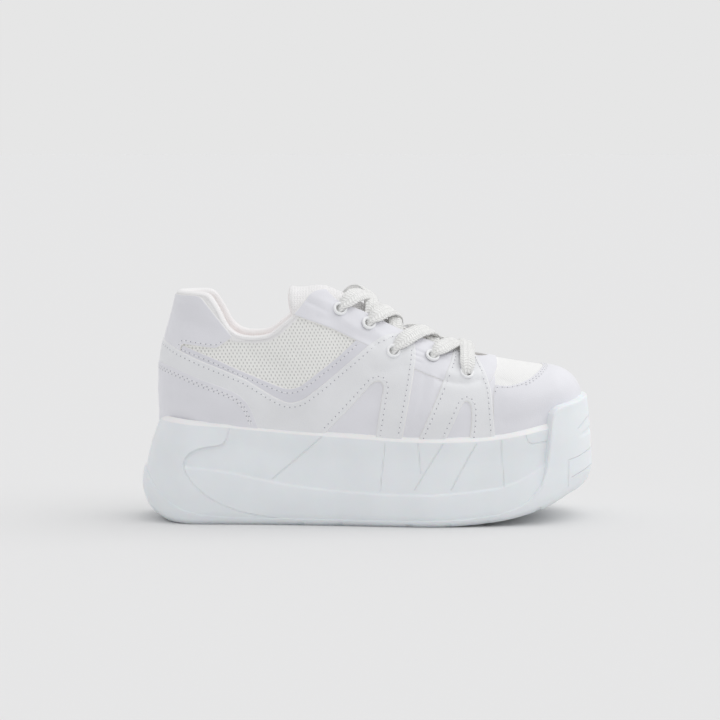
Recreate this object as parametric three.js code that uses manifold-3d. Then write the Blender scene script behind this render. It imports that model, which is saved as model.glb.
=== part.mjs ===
// Platform sneaker for the right foot, in millimetres: +Z up, toe towards +X, outer side towards -Y.
// A moulded cup sole carries a hollow lasted upper with sewn-on panels, a tongue, an insole,
// ten eyelets and a flat lace. The origin is on the ground, under the middle of the shoe.
import * as THREE from "three";
import { mergeVertices } from "three/addons/utils/BufferGeometryUtils.js";
import Module from "manifold-3d";

const wasm = await Module();
wasm.setup();

// Driving dimensions
const soleLength = 285;
const ballWidth = 106;
const rimHeight = 67; // top of the sole's wall at the heel
const collarRise = 78; // heel collar above the sole's wall
const toeSpring = 18;
const heelSpring = 2;
const cupDepth = 13; // the cup's floor below the top of its wall
const rimThickness = 3;
const rimLean = 4.3; // how far the sole's side leans in from its widest line to its top
const sideDepth = 0.9; // how far the sole's side is sunk between the heel's frame and the toe bumper
const recessDepth = 1.8; // the sunk panel above its ridge
const bumperRise = 8; // toe bumper above the sole's wall
const bumperStep = 1.2; // toe bumper proud of the sole's side
const bumperThickness = 3.4;
const upperWall = 2.2;
const upperBulge = 2;
const heelSetBack = 12.2; // upper's heel ahead of the sole's heel
const toeSetBack = 6.6; // upper's toe behind the sole's toe
const heelLean = 9.5; // how far the heel leans forward at the collar
const collarPad = 3.6;
const overlayThickness = 1.3;
const trimWidth = 5;
const throatHalfTop = 19;
const throatHalfToe = 13;
const insoleThickness = 4.5;
const tongueThickness = 5;
const tongueHalfTop = 26;
const tongueHalfToe = 17;
const laceWidth = 8.5;
const laceThickness = 3;
const eyeletHole = 2.6; // radius
const eyeletRim = 4.4; // radius
const eyeletProud = 1.5;
const grooveWidth = 3;
const grooveDepth = 2.4;
const clearance = 0.3; // between pieces that touch
const toeStart = 0.7835; // toe cap's back edge, as a share of the length
const toeWindowReach = 0.107; // length of its mesh window, as a share of the length

// How finely the forms are divided
const stations = 18;
const rises = 7;
const cornerSteps = 2;
const far = 400; // longer than anything that it has to cut

// Plan of the sole from heel to toe: its middle line and half width, as shares of half the ball width.
const planTable = [
  { at: 0.0, middle: 0.0, half: 0.74 },
  { at: 0.12, middle: 0.0, half: 0.74 },
  { at: 0.25, middle: -0.01, half: 0.75 },
  { at: 0.4, middle: -0.05, half: 0.79 },
  { at: 0.55, middle: -0.055, half: 0.89 },
  { at: 0.64, middle: -0.03, half: 0.965 },
  { at: 0.72, middle: 0.01, half: 0.985 },
  { at: 0.82, middle: 0.06, half: 0.95 },
  { at: 0.9, middle: 0.1, half: 0.88 },
  { at: 1.0, middle: 0.14, half: 0.8 },
];

// Side view of the sole: its underside as shares of toeSpring and heelSpring, and the wall's top and the
// outsole's upper edge as shares of rimHeight.
const sideTable = [
  { at: 0.0, ground: 0, heelGround: 1, rim: 1.0, split: 0.42 },
  { at: 0.03, ground: 0, heelGround: 0.8, rim: 1.0, split: 0.36 },
  { at: 0.07, ground: 0, heelGround: 0.35, rim: 0.99, split: 0.22 },
  { at: 0.13, ground: 0, heelGround: 0, rim: 0.966, split: 0.115 },
  { at: 0.19, ground: 0, heelGround: 0, rim: 0.95, split: 0.08 },
  { at: 0.26, ground: 0, heelGround: 0, rim: 0.922, split: 0.072 },
  { at: 0.4, ground: 0, heelGround: 0, rim: 0.878, split: 0.072 },
  { at: 0.5, ground: 0, heelGround: 0, rim: 0.853, split: 0.072 },
  { at: 0.59, ground: 0, heelGround: 0, rim: 0.832, split: 0.072 },
  { at: 0.66, ground: 0.005, heelGround: 0, rim: 0.83, split: 0.078 },
  { at: 0.725, ground: 0.065, heelGround: 0, rim: 0.836, split: 0.095 },
  { at: 0.78, ground: 0.15, heelGround: 0, rim: 0.852, split: 0.135 },
  { at: 0.83, ground: 0.3, heelGround: 0, rim: 0.88, split: 0.18 },
  { at: 0.89, ground: 0.57, heelGround: 0, rim: 0.93, split: 0.27 },
  { at: 0.95, ground: 0.93, heelGround: 0, rim: 0.985, split: 0.35 },
  { at: 1.0, ground: 1.0, heelGround: 0, rim: 1.0, split: 0.4 },
];

// Rows up the sole's wall, as shares of its height. The columns are how far it stands in from its widest
// line at the heel, side and toe, as shares of rimLean.
const wallTable = [
  { up: 0.0, heel: 3.3, side: 1.1, toe: 3.2 },
  { up: 0.05, heel: 1.8, side: 0.35, toe: 1.8 },
  { up: 0.14, heel: 0.65, side: 0.05, toe: 0.7 },
  { up: 0.3, heel: 0, side: 0, toe: 0.05 },
  { up: 0.5, heel: 0.55, side: 0.2, toe: 0.15 },
  { up: 0.75, heel: 1.35, side: 0.6, toe: 0.5 },
  { up: 1.0, heel: 2.6, side: 1.0, toe: 1.0 },
];

// Top of the closed last-like form that the upper is cut from, as shares of collarRise above the wall at the
// heel, the same for the tongue's own form, and the squareness of the cross section.
const crownTable = [
  { at: 0.0, top: 1.36, tongue: 1.1, square: 2.8 },
  { at: 0.3, top: 1.36, tongue: 1.08, square: 2.7 },
  { at: 0.36, top: 1.31, tongue: 1.05, square: 2.5 },
  { at: 0.39, top: 1.24, tongue: 1.035, square: 2.35 },
  { at: 0.435, top: 1.075, tongue: 0.975, square: 2.2 },
  { at: 0.505, top: 0.905, tongue: 0.845, square: 2.2 },
  { at: 0.555, top: 0.78, tongue: 0.72, square: 2.2 },
  { at: 0.64, top: 0.615, tongue: 0.55, square: 2.3 },
  { at: 0.7, top: 0.52, tongue: 0.455, square: 2.35 },
  { at: 0.755, top: 0.46, tongue: 0.395, square: 2.4 },
  { at: 0.86, top: 0.39, tongue: 0.325, square: 2.5 },
  { at: 0.93, top: 0.355, tongue: 0.28, square: 2.6 },
  { at: 1.0, top: 0.33, tongue: 0.25, square: 2.6 },
];

// Collar line seen from the side: share of the sole's length, and of collarRise above the wall at the heel.
const collarTable = [
  { at: 0.0, up: 0.985 },
  { at: 0.145, up: 0.975 },
  { at: 0.17, up: 0.88 },
  { at: 0.2, up: 0.715 },
  { at: 0.225, up: 0.662 },
  { at: 0.25, up: 0.652 },
  { at: 0.28, up: 0.665 },
  { at: 0.315, up: 0.755 },
  { at: 0.342, up: 0.84 },
  { at: 0.383, up: 1.005 },
  { at: 0.4, up: 1.018 },
  { at: 0.44, up: 1.018 },
];

// Panel corners seen from the side: share of the sole's length, share of collarRise above the wall beside
// them, and the corner's rounding as a share of the sole's length.
const heelTabCorners = [
  { at: -0.02, up: 0.66, round: 0 },
  { at: 0.05, up: 0.645, round: 0 },
  { at: 0.083, up: 0.56, round: 0 },
  { at: 0.088, up: 0.63, round: 0.006 },
  { at: 0.166, up: 0.605, round: 0.008 },
  { at: 0.203, up: 0.705, round: 0 },
  { at: 0.133, up: 0.975, round: 0.006 },
  { at: 0.133, up: 1.2, round: 0 },
  { at: -0.02, up: 1.2, round: 0 },
];
const heelCounterCorners = [
  { at: -0.02, up: -0.2, round: 0 },
  { at: 0.26, up: -0.2, round: 0 },
  { at: 0.236, up: 0.25, round: 0.03 },
  { at: 0.107, up: 0.375, round: 0 },
  { at: -0.02, up: 0.46, round: 0 },
];
// The strap's upper edge, which the trim beside it and the heel tab follow.
const strapEdge = [
  { at: -0.02, up: 0.66, round: 0 },
  { at: 0.05, up: 0.63, round: 0.01 },
  { at: 0.13, up: 0.49, round: 0.02 },
  { at: 0.322, up: 0.165, round: 0.06 },
  { at: 0.545, up: 0.82, round: 0.02 },
];
// The part of that edge which has the trim.
const trimReach = [
  { at: 0.09, up: 0.9, round: 0 },
  { at: 0.09, up: 0.5, round: 0 },
  { at: 0.322, up: 0.1, round: 0 },
  { at: 0.5, up: 0.6, round: 0 },
  { at: 0.5, up: 0.9, round: 0 },
];
const strapFront = [
  { at: 0.601, up: 0.77, round: 0.015 },
  { at: 0.612, up: 0.55, round: 0.01 },
  { at: 0.577, up: -0.2, round: 0 },
  { at: 0.517, up: -0.2, round: 0 },
  { at: 0.542, up: 0.53, round: 0.025 },
  { at: 0.38, up: -0.2, round: 0 },
  { at: 0.268, up: -0.2, round: 0 },
  { at: 0.24, up: 0.255, round: 0.03 },
  { at: 0.107, up: 0.385, round: 0 },
  { at: -0.02, up: 0.47, round: 0 },
];
const toeStrapCorners = [
  { at: 0.605, up: -0.2, round: 0 },
  { at: 0.69, up: 0.66, round: 0.01 },
  { at: 0.757, up: 0.56, round: 0.01 },
  { at: 0.782, up: 0.33, round: 0.02 },
  { at: 0.782, up: -0.2, round: 0 },
  { at: 0.73, up: -0.2, round: 0 },
  { at: 0.733, up: 0.4, round: 0.022 },
  { at: 0.662, up: -0.2, round: 0 },
];
const eyestayCorners = [
  { at: 0.342, up: 0.9, round: 0 },
  { at: 0.475, up: 0.735, round: 0.02 },
  { at: 0.61, up: 0.552, round: 0.02 },
  { at: 0.7, up: 0.42, round: 0.02 },
  { at: 0.77, up: 0.4, round: 0.02 },
  { at: 0.79, up: 0.52, round: 0.01 },
  { at: 0.79, up: 1.2, round: 0 },
  { at: 0.342, up: 1.6, round: 0 },
];
// Sunk side between the heel's frame and the bumper: share of the sole's length and of the wall's height.
const sideCorners = [
  { at: 0.194, up: 0.95, round: 0 },
  { at: 0.19, up: 0.765, round: 0.02 },
  { at: 0.1, up: 0.75, round: 0.035 },
  { at: 0.098, up: 0.45, round: 0.035 },
  { at: 0.175, up: 0.16, round: 0.05 },
  { at: 0.27, up: 0.075, round: 0 },
  { at: 0.27, up: -0.2, round: 0 },
  { at: 0.97, up: -0.2, round: 0 },
  { at: 0.93, up: 0.95, round: 0 },
];
// The panel in it, above the ridge.
const recessCorners = [
  { at: 0.194, up: 0.95, round: 0 },
  { at: 0.19, up: 0.765, round: 0.02 },
  { at: 0.1, up: 0.75, round: 0.035 },
  { at: 0.098, up: 0.54, round: 0.012 },
  { at: 0.21, up: 0.505, round: 0.04 },
  { at: 0.42, up: 0.36, round: 0.06 },
  { at: 0.62, up: 0.335, round: 0.08 },
  { at: 0.77, up: 0.36, round: 0.05 },
  { at: 0.93, up: 0.52, round: 0 },
  { at: 0.93, up: 0.95, round: 0 },
];
// Back edge and top of the toe bumper, by the same shares.
const bumperCorners = [
  { at: 0.82, up: -0.3, round: 0 },
  { at: 0.885, up: 0.2, round: 0.03 },
  { at: 0.905, up: 1.12, round: 0.02 },
  { at: 1.03, up: 1.18, round: 0 },
  { at: 1.03, up: -0.3, round: 0 },
];
// Eyelets from the collar to the toe: share of the sole's length, and height as a share of collarRise above
// the wall beside them.
const eyeletTable = [
  { at: 0.438, up: 0.965 },
  { at: 0.502, up: 0.87 },
  { at: 0.562, up: 0.675 },
  { at: 0.645, up: 0.632 },
  { at: 0.723, up: 0.49 },
];
// Grooves across the bumper's front, as shares of the wall's height.
const bumperGrooveTable = [{ up: 0.4 }, { up: 0.62 }, { up: 0.84 }];
const bumperGrooveStart = 0.938; // share of the sole's length
const bumperGrooveWidth = 2.6;
const bumperGrooveDepth = 1;
const grooveTable = [{ at: 0.355 }, { at: 0.44 }, { at: 0.592 }, { at: 0.675 }, { at: 0.76 }, { at: 0.873 }];

const { clamp, lerp, smoothstep } = THREE.MathUtils;

// Reads a table's column smoothly between its rows, with no overshoot.
function read(table, column, at) {
  const last = table.length - 1;
  const here = clamp(at, table[0].at, table[last].at);
  let row = 0;
  while (row < last - 1 && here > table[row + 1].at) row += 1;
  const rate = (k) => (table[k + 1][column] - table[k][column]) / (table[k + 1].at - table[k].at);
  const slope = (k) => {
    if (k === 0) return rate(0);
    if (k === last) return rate(last - 1);
    const product = rate(k - 1) * rate(k);
    return product <= 0 ? 0 : (2 * product) / (rate(k - 1) + rate(k));
  };
  const gap = table[row + 1].at - table[row].at;
  const s = (here - table[row].at) / gap;
  const bend = s * s * (3 - 2 * s);
  return (
    table[row][column] * (1 - bend) +
    table[row + 1][column] * bend +
    slope(row) * gap * s * (1 - s) ** 2 -
    slope(row + 1) * gap * s * s * (1 - s)
  );
}

const sideAt = (x, column) => read(sideTable, column, x / soleLength);
const ground = (x) => sideAt(x, "ground") * toeSpring + sideAt(x, "heelGround") * heelSpring;
const rim = (x) => sideAt(x, "rim") * rimHeight;
const cupFloor = (x) => rim(x) - cupDepth;
const splitLine = (x) => sideAt(x, "split") * rimHeight;
const middle = (x) => (read(planTable, "middle", x / soleLength) * ballWidth) / 2;
const halfWidth = (x) => (read(planTable, "half", x / soleLength) * ballWidth) / 2;

// 1 along a plan's sides, falling to 0 at its heel and toe as a squarish round end does.
function endRounding(x, back, front) {
  const heelReach = 0.36 * ballWidth;
  const toeReach = 0.5 * ballWidth;
  const heelPower = 2.2;
  const toePower = 2.5;
  const fromHeel = 1 - clamp((x - back) / heelReach, 0, 1);
  const fromToe = 1 - clamp((front - x) / toeReach, 0, 1);
  return (1 - fromHeel ** heelPower) ** (1 / heelPower) * (1 - fromToe ** toePower) ** (1 / toePower);
}

// Stations run round a plan: heel to toe on the outer side, then back to the heel on the inner side.
function roundThePlan(point) {
  return Array.from({ length: 2 * stations }, (_, i) => {
    const k = i <= stations ? i : 2 * stations - i;
    return point((1 - Math.cos((Math.PI * k) / stations)) / 2, i <= stations ? -1 : 1);
  });
}

// A closed solid from rings of points, each ring running round the plan and the rings going up.
function solidFromRings(rings) {
  const around = rings[0].length;
  const corners = [];
  const face = (...points) => corners.push(...points.flatMap((p) => p.toArray()));
  for (let k = 0; k + 1 < rings.length; k += 1) {
    for (let i = 0; i < around; i += 1) {
      const next = (i + 1) % around;
      face(rings[k][i], rings[k][next], rings[k + 1][next]);
      face(rings[k][i], rings[k + 1][next], rings[k + 1][i]);
    }
  }
  const top = rings[rings.length - 1];
  for (let i = 0; i < around / 2; i += 1) {
    const across = (around - i) % around;
    const beyond = around - i - 1;
    face(rings[0][i], rings[0][across], rings[0][beyond]);
    face(rings[0][i], rings[0][beyond], rings[0][i + 1]);
    face(top[i], top[i + 1], top[beyond]);
    face(top[i], top[beyond], top[across]);
  }
  return solidFromGeometry(
    new THREE.BufferGeometry().setAttribute("position", new THREE.Float32BufferAttribute(corners, 3)),
  );
}

// A three.js geometry as a solid: shared corners merged, and faces with no area dropped.
function solidFromGeometry(geometry) {
  const bare = geometry.index ? geometry.toNonIndexed() : geometry.clone();
  bare.deleteAttribute("normal");
  bare.deleteAttribute("uv");
  const merged = mergeVertices(bare, 1e-3);
  const index = merged.index.array;
  const triVerts = [];
  for (let i = 0; i < index.length; i += 3) {
    const [a, b, c] = [index[i], index[i + 1], index[i + 2]];
    if (a !== b && b !== c && c !== a) triVerts.push(a, b, c);
  }
  return new wasm.Manifold(
    new wasm.Mesh({
      numProp: 3,
      vertProperties: merged.attributes.position.array,
      triVerts: new Uint32Array(triVerts),
    }),
  );
}

function meshFromSolid(name, solid, material) {
  const { vertProperties, triVerts } = solid.getMesh();
  const geometry = new THREE.BufferGeometry()
    .setAttribute("position", new THREE.BufferAttribute(new Float32Array(vertProperties), 3))
    .setIndex(new THREE.BufferAttribute(new Uint32Array(triVerts), 1));
  geometry.computeVertexNormals();
  const mesh = new THREE.Mesh(geometry, material);
  mesh.name = name;
  return mesh;
}

// The sole's outer form, grown sideways, with its wall raised above the usual top.
function soleForm(grow = 0, raise = 0) {
  return solidFromRings(
    wallTable.map((row) =>
      roundThePlan((share, side) => {
        const x = share * soleLength;
        const ahead = 0.5;
        const half = (at) => side * halfWidth(at) * endRounding(at, 0, soleLength) + middle(at);
        const before = clamp(x - ahead, 0, soleLength);
        const after = clamp(x + ahead, 0, soleLength);
        const outward = new THREE.Vector2(-side * (half(after) - half(before)), side * (after - before));
        const tip = share < 1e-9 ? -1 : share > 1 - 1e-9 ? 1 : 0;
        if (tip) outward.set(tip, 0);
        outward.normalize();
        const lengthways = outward.x ** 2;
        const inset = rimLean * lerp(row.side, outward.x < 0 ? row.heel : row.toe, lengthways) - grow;
        const here = x - outward.x * inset;
        const height = lerp(ground(here), rim(here) + raise * row.up, row.up);
        return new THREE.Vector3(here, half(x) - outward.y * inset, height);
      }),
    ),
  );
}

// Highest point of the upper's closed form at x, with the toe rounded over.
function crown(x, grow, column) {
  const rounding = 0.075 * soleLength;
  const power = 2.4;
  const fromToe = clamp(1 - (soleLength - toeSetBack + grow - x) / rounding, 0, 1);
  const above = (at) => read(crownTable, column, at / soleLength) * collarRise;
  const straight = rimHeight + above(x);
  const tipDrop = 0.27 * collarRise;
  const lift = grow * Math.hypot(1, above(x + 1) - above(x));
  return straight + lift - tipDrop * (1 - (1 - fromToe ** power) ** (1 / power));
}

const collarLine = (x) => rimHeight + read(collarTable, "up", x / soleLength) * collarRise;

// The upper's section at x: it stands on low, rises to top, and is half wide, with squareness power.
function sectionAt(x, grow, column) {
  return {
    low: cupFloor(x),
    top: crown(x, grow, column),
    half: halfWidth(x) - rimLean - rimThickness - clearance + grow,
    power: read(crownTable, "square", x / soleLength),
    rounding: endRounding(x, heelSetBack - grow, soleLength - toeSetBack + grow),
  };
}

const bulge = (x, z) => upperBulge * smoothstep(z, rim(x) - 2, rim(x) + 18);

// The upper's own function: the last-like form, grown all round, with a straight skirt below the cup's
// floor. A padded form is drawn in near the collar, and the tongue's form has a lower crown.
function upperForm({ grow = 0, skirt = 0, padded = false, column = "top" }) {
  const back = heelSetBack - grow;
  const front = soleLength - toeSetBack + grow;
  const ring = (turn, drop) =>
    roundThePlan((share, side) => {
      const x = lerp(back, front, share);
      const { low, top, half, power, rounding } = sectionAt(x, grow, column);
      const z = low + (top - low) * Math.sin(turn) ** (2 / power);
      const nearCollar = smoothstep(z, collarLine(x) - 34, collarLine(x) - 10);
      const behindThroat = 1 - smoothstep(x / soleLength, 0.3, 0.37);
      const pad = padded ? collarPad * nearCollar * behindThroat : 0;
      const inward = (half + bulge(x, z) - pad) * rounding * Math.cos(turn) ** (2 / power);
      const leaning = smoothstep(z, rimHeight + 0.35 * collarRise, rimHeight + 1.15 * collarRise);
      const fading = (1 - clamp((x - back) / (0.33 * soleLength), 0, 1)) ** 2;
      const shift = (heelLean * 1.25 * leaning + pad) * fading;
      return new THREE.Vector3(x + shift, middle(x) + side * (turn < 1.57 ? inward : 0), z - drop);
    });
  const turns = Array.from({ length: rises + 1 }, (_, j) => (Math.PI / 2) * (j / rises));
  const rings = turns.map((turn) => ring(turn, 0));
  return solidFromRings(skirt ? [ring(0, skirt), ...rings] : rings);
}

// A point of the form's top face over x, y, with the outward direction there.
function faceOver(x, y, grow, column) {
  const height = (px, py) => {
    const { low, top, half, power, rounding } = sectionAt(px, grow, column);
    const across = clamp(Math.abs(py - middle(px)) / ((half + upperBulge) * rounding), 0, 1);
    return low + (top - low) * (1 - across ** power) ** (1 / power);
  };
  const slopeX = (height(x + 1, y) - height(x - 1, y)) / 2;
  const slopeY = (height(x, y + 1) - height(x, y - 1)) / 2;
  const outward = new THREE.Vector3(-slopeX, -slopeY, 1).normalize();
  return { here: new THREE.Vector3(x, y, height(x, y)), outward };
}

// A closed outline through rounded corners, as points, moved outward by grow.
function outline(corners, place, grow = 0) {
  const points = corners.map((corner) => place(corner));
  const path = new THREE.Path();
  points.forEach((corner, i) => {
    const before = points[(i + points.length - 1) % points.length];
    const after = points[(i + 1) % points.length];
    const cutBack = (other) => {
      const reach = Math.min(corners[i].round * soleLength, 0.48 * corner.distanceTo(other));
      return corner.clone().addScaledVector(other.clone().sub(corner).normalize(), reach);
    };
    const [enter, leave] = [cutBack(before), cutBack(after)];
    if (i === 0) path.moveTo(enter.x, enter.y);
    else path.lineTo(enter.x, enter.y);
    if (corners[i].round) path.quadraticCurveTo(corner.x, corner.y, leave.x, leave.y);
  });
  return movedOutward(path.getPoints(cornerSteps), grow);
}

// A closed outline's points, each moved outward so that every edge moves by the same distance.
function movedOutward(points, grow) {
  const turning = THREE.ShapeUtils.area(points) > 0 ? 1 : -1;
  const edge = (i) => {
    const j = (i + points.length) % points.length;
    return points[(j + 1) % points.length].clone().sub(points[j]).normalize();
  };
  return points.map((point, i) => {
    const [before, after] = [edge(i - 1), edge(i)];
    const along = before.clone().add(after).normalize();
    const stretch = Math.min(1 / Math.abs(along.dot(after)), 2);
    return point.clone().add(new THREE.Vector2(along.y, -along.x).multiplyScalar(turning * grow * stretch));
  });
}

// A side-view outline pushed through the whole shoe. The turn sends the shape's Y up, so Z runs to -Y.
function sidePrism(points, nearest = -far / 2, farthest = far / 2) {
  const geometry = new THREE.ExtrudeGeometry(new THREE.Shape(points), {
    depth: farthest - nearest,
    bevelEnabled: false,
  });
  geometry.rotateX(Math.PI / 2).translate(0, farthest, 0);
  return solidFromGeometry(geometry);
}

// A plan outline pushed up between two heights.
function planPrism(shape, low, high) {
  const options = { depth: high - low, bevelEnabled: false, curveSegments: 5 };
  const geometry = new THREE.ExtrudeGeometry(shape, options);
  geometry.translate(0, 0, low);
  return solidFromGeometry(geometry);
}

const besideWall = ({ at, up }) =>
  new THREE.Vector2(at * soleLength, rim(at * soleLength) + up * collarRise);
const upTheWall = ({ at, up }) =>
  new THREE.Vector2(at * soleLength, lerp(ground(at * soleLength), rim(at * soleLength), up));

// The region above or below a line z = height(x), drawn from behind the heel to beyond the toe. The line is
// straight beyond the share of the length where it ends.
function regionBy(height, above, steps = 22, end = 1.05) {
  const shares = Array.from({ length: steps + 1 }, (_, i) => lerp(-0.05, end, i / steps));
  const points = [...shares, 1.05].map((at) => new THREE.Vector2(at * soleLength, height(at * soleLength)));
  const edge = above ? far : -far;
  points.push(new THREE.Vector2(1.05 * soleLength, edge), new THREE.Vector2(-0.05 * soleLength, edge));
  return sidePrism(end < 1.05 ? points : points.filter((_, i) => i !== steps + 1));
}

const cut = (solid, ...cutters) => cutters.reduce((left, cutter) => left.subtract(cutter), solid);

// Half the throat's width, along the lacing.
const throatHalf = (x) => lerp(throatHalfTop, throatHalfToe, clamp((x / soleLength - 0.43) / 0.29, 0, 1));

// The throat between the eyestay's edges, from the collar to its round toe end.
function throatPrism() {
  const start = 0.3 * soleLength;
  const bend = 0.43 * soleLength;
  const end = 0.72 * soleLength;
  const shape = new THREE.Shape();
  shape.moveTo(start, middle(start) - throatHalfTop);
  shape.lineTo(bend, middle(bend) - throatHalfTop);
  shape.lineTo(end, middle(end) - throatHalfToe);
  shape.absarc(end, middle(end), throatHalfToe, -Math.PI / 2, Math.PI / 2, false);
  shape.lineTo(bend, middle(bend) + throatHalfTop);
  shape.lineTo(start, middle(start) + throatHalfTop);
  return planPrism(shape, rimHeight + 0.1 * collarRise, far);
}

const aboveCollar = regionBy(collarLine, true, 24, 0.44);
const throat = throatPrism();
const aboveWall = regionBy((x) => rim(x) + 1.5 * clearance, true);
const floorSteps = 8;
const aboveCupFloor = regionBy((x) => cupFloor(x) + clearance, true, floorSteps);
const panelFace = clearance + overlayThickness;

// An eyelet stands on the panels' outer face, its distance from the middle found by halving for its height.
function eyeletPlace({ at, up }, side) {
  const x = at * soleLength;
  const z = rim(x) + up * collarRise;
  let [near, away] = [0, halfWidth(x)];
  for (let i = 0; i < 24; i += 1) {
    const y = (near + away) / 2;
    if (faceOver(x, middle(x) + side * y, panelFace, "top").here.z > z) near = y;
    else away = y;
  }
  return faceOver(x, middle(x) + side * near, panelFace, "top");
}

// Turns a geometry made round its own +Y so that +Y points outward at a place.
function standOn(geometry, { here, outward }) {
  const turn = new THREE.Quaternion().setFromUnitVectors(new THREE.Vector3(0, 1, 0), outward);
  return geometry.applyQuaternion(turn).translate(here.x, here.y, here.z);
}

const sides = [
  { name: "outer", side: -1 },
  { name: "inner", side: 1 },
];
const eyelets = sides.flatMap(({ name, side }) =>
  eyeletTable.map((row, i) => ({ name: `eyelet_${name}_${i + 1}`, side, ...eyeletPlace(row, side) })),
);

// One round hole through wall and panels for each eyelet.
const eyeletHoles = eyelets.map((eyelet) => {
  const depth = 6 * upperWall;
  const radius = eyeletHole + 0.8 + clearance;
  return solidFromGeometry(standOn(new THREE.CylinderGeometry(radius, radius, depth, 8), eyelet));
});

function upperSolid() {
  const shell = cut(upperForm({ skirt: 5 }), upperForm({ grow: -upperWall, skirt: 20, padded: true }));
  return cut(shell.intersect(aboveCupFloor), aboveCollar, throat, ...eyeletHoles);
}

// The thin layer of panels that lies on the upper.
const panelLayer = cut(upperForm({ grow: panelFace }), upperForm({ grow: clearance, skirt: 20 }))
  .intersect(aboveWall)
  .subtract(aboveCollar);

const strapCorners = [...strapEdge, ...strapFront];

// The mesh window on top of the toe, in plan.
function toeWindow() {
  const x = toeStart * soleLength;
  const shape = new THREE.Shape();
  shape.absellipse(x, middle(x), toeWindowReach * soleLength, 0.62 * halfWidth(x), 0, 2 * Math.PI);
  return planPrism(shape, rimHeight, far);
}

function panelSolids() {
  const prism = (corners, grow = 0) => sidePrism(outline(corners, besideWall, grow));
  const near = (solid) => solid.intersect(slabAcross(-far, 0));
  const beyond = (solid) => solid.intersect(slabAcross(0, far));
  const strap = panelLayer.intersect(prism(strapCorners));
  const toeStrap = panelLayer.intersect(prism(toeStrapCorners));
  const counter = panelLayer.intersect(prism(heelCounterCorners));
  const strapRoom = prism(strapCorners, clearance);
  const toeStrapRoom = prism(toeStrapCorners, clearance);
  const eyestayRoom = prism(eyestayCorners, clearance);
  const tab = cut(panelLayer.intersect(prism(heelTabCorners)), strapRoom);
  const eyestay = cut(panelLayer.intersect(prism(eyestayCorners)), strapRoom, toeStrapRoom, throat);
  const strip = cut(prism(strapCorners, clearance + trimWidth), strapRoom).intersect(prism(trimReach));
  const trim = cut(panelLayer.intersect(strip), prism(heelTabCorners, clearance), eyestayRoom);
  const ahead = regionAhead(toeStart * soleLength);
  const toeCap = cut(panelLayer.intersect(ahead), toeWindow(), eyestayRoom, toeStrapRoom);
  return {
    heel_tab: { solid: tab, material: paleLeather },
    heel_counter: { solid: counter, material: paleLeather },
    side_strap: { solid: cut(strap, ...eyeletHoles), material: whiteLeather },
    toe_strap_outer: { solid: cut(near(toeStrap), ...eyeletHoles), material: whiteLeather },
    toe_strap_inner: { solid: cut(beyond(toeStrap), ...eyeletHoles), material: whiteLeather },
    eyestay: { solid: cut(eyestay, ...eyeletHoles), material: paleLeather },
    quarter_trim_outer: { solid: near(trim), material: paleLeather },
    quarter_trim_inner: { solid: beyond(trim), material: paleLeather },
    toe_cap: { solid: toeCap, material: paleLeather },
  };
}

// Everything nearer the toe than x.
function regionAhead(x) {
  const box = new THREE.BoxGeometry(far, far, far).translate(x + far / 2, 0, 0);
  return solidFromGeometry(box);
}

// The slab between two distances across the shoe.
function slabAcross(low, high) {
  const box = new THREE.BoxGeometry(far * 4, high - low, far * 4).translate(0, (low + high) / 2, 0);
  return solidFromGeometry(box);
}

function soleSolids() {
  const outer = soleForm();
  const low = regionBy(splitLine, false);
  const lowRoom = regionBy((x) => splitLine(x) + clearance, false);
  const prism = (corners, grow = 0) => sidePrism(outline(corners, upTheWall, grow));
  const core = soleForm(bumperStep - bumperThickness);
  const coreRoom = soleForm(bumperStep - bumperThickness - 2 * clearance);
  const panelRoom = upperForm({ grow: panelFace + clearance, skirt: 20 });
  const proud = soleForm(bumperStep, bumperRise);
  const toe = cut(proud.intersect(prism(bumperCorners)), cut(core, low), panelRoom);
  const grooves = grooveTable.map(({ at }) => {
    const x = at * soleLength;
    const box = new THREE.BoxGeometry(grooveWidth, far, 2 * grooveDepth).translate(x, 0, ground(x));
    return solidFromGeometry(box);
  });
  const front = bumperGrooveStart * soleLength;
  const ribs = bumperGrooveTable.map(({ up }) => {
    const box = new THREE.BoxGeometry(far, far, bumperGrooveWidth);
    return solidFromGeometry(box.translate(front + far / 2, 0, lerp(ground(front), rim(front), up)));
  });
  const skin = cut(soleForm(far / 20), soleForm(bumperStep - bumperGrooveDepth, bumperRise));
  const ribCuts = ribs.map((rib) => rib.intersect(skin));
  const outsole = cut(outer.intersect(low).add(toe), ...grooves, ...ribCuts);
  const sunk = (depth, corners) => cut(soleForm(far / 20), soleForm(-depth)).intersect(prism(corners));
  const cup = upperForm({ grow: clearance, skirt: 5 }).intersect(regionBy(cupFloor, true, floorSteps));
  const side = [sunk(sideDepth, sideCorners), sunk(recessDepth, recessCorners)];
  const midsole = cut(outer, lowRoom, ...side, cup, cut(prism(bumperCorners, clearance), coreRoom));
  return { outsole, midsole };
}

function insoleSolid() {
  const inside = upperForm({ grow: -upperWall - clearance, skirt: 5 }).intersect(aboveCupFloor);
  return inside.intersect(regionBy((x) => cupFloor(x) + clearance + insoleThickness, false, floorSteps));
}

const tongueGrow = -upperWall - 2 * clearance;

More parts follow.
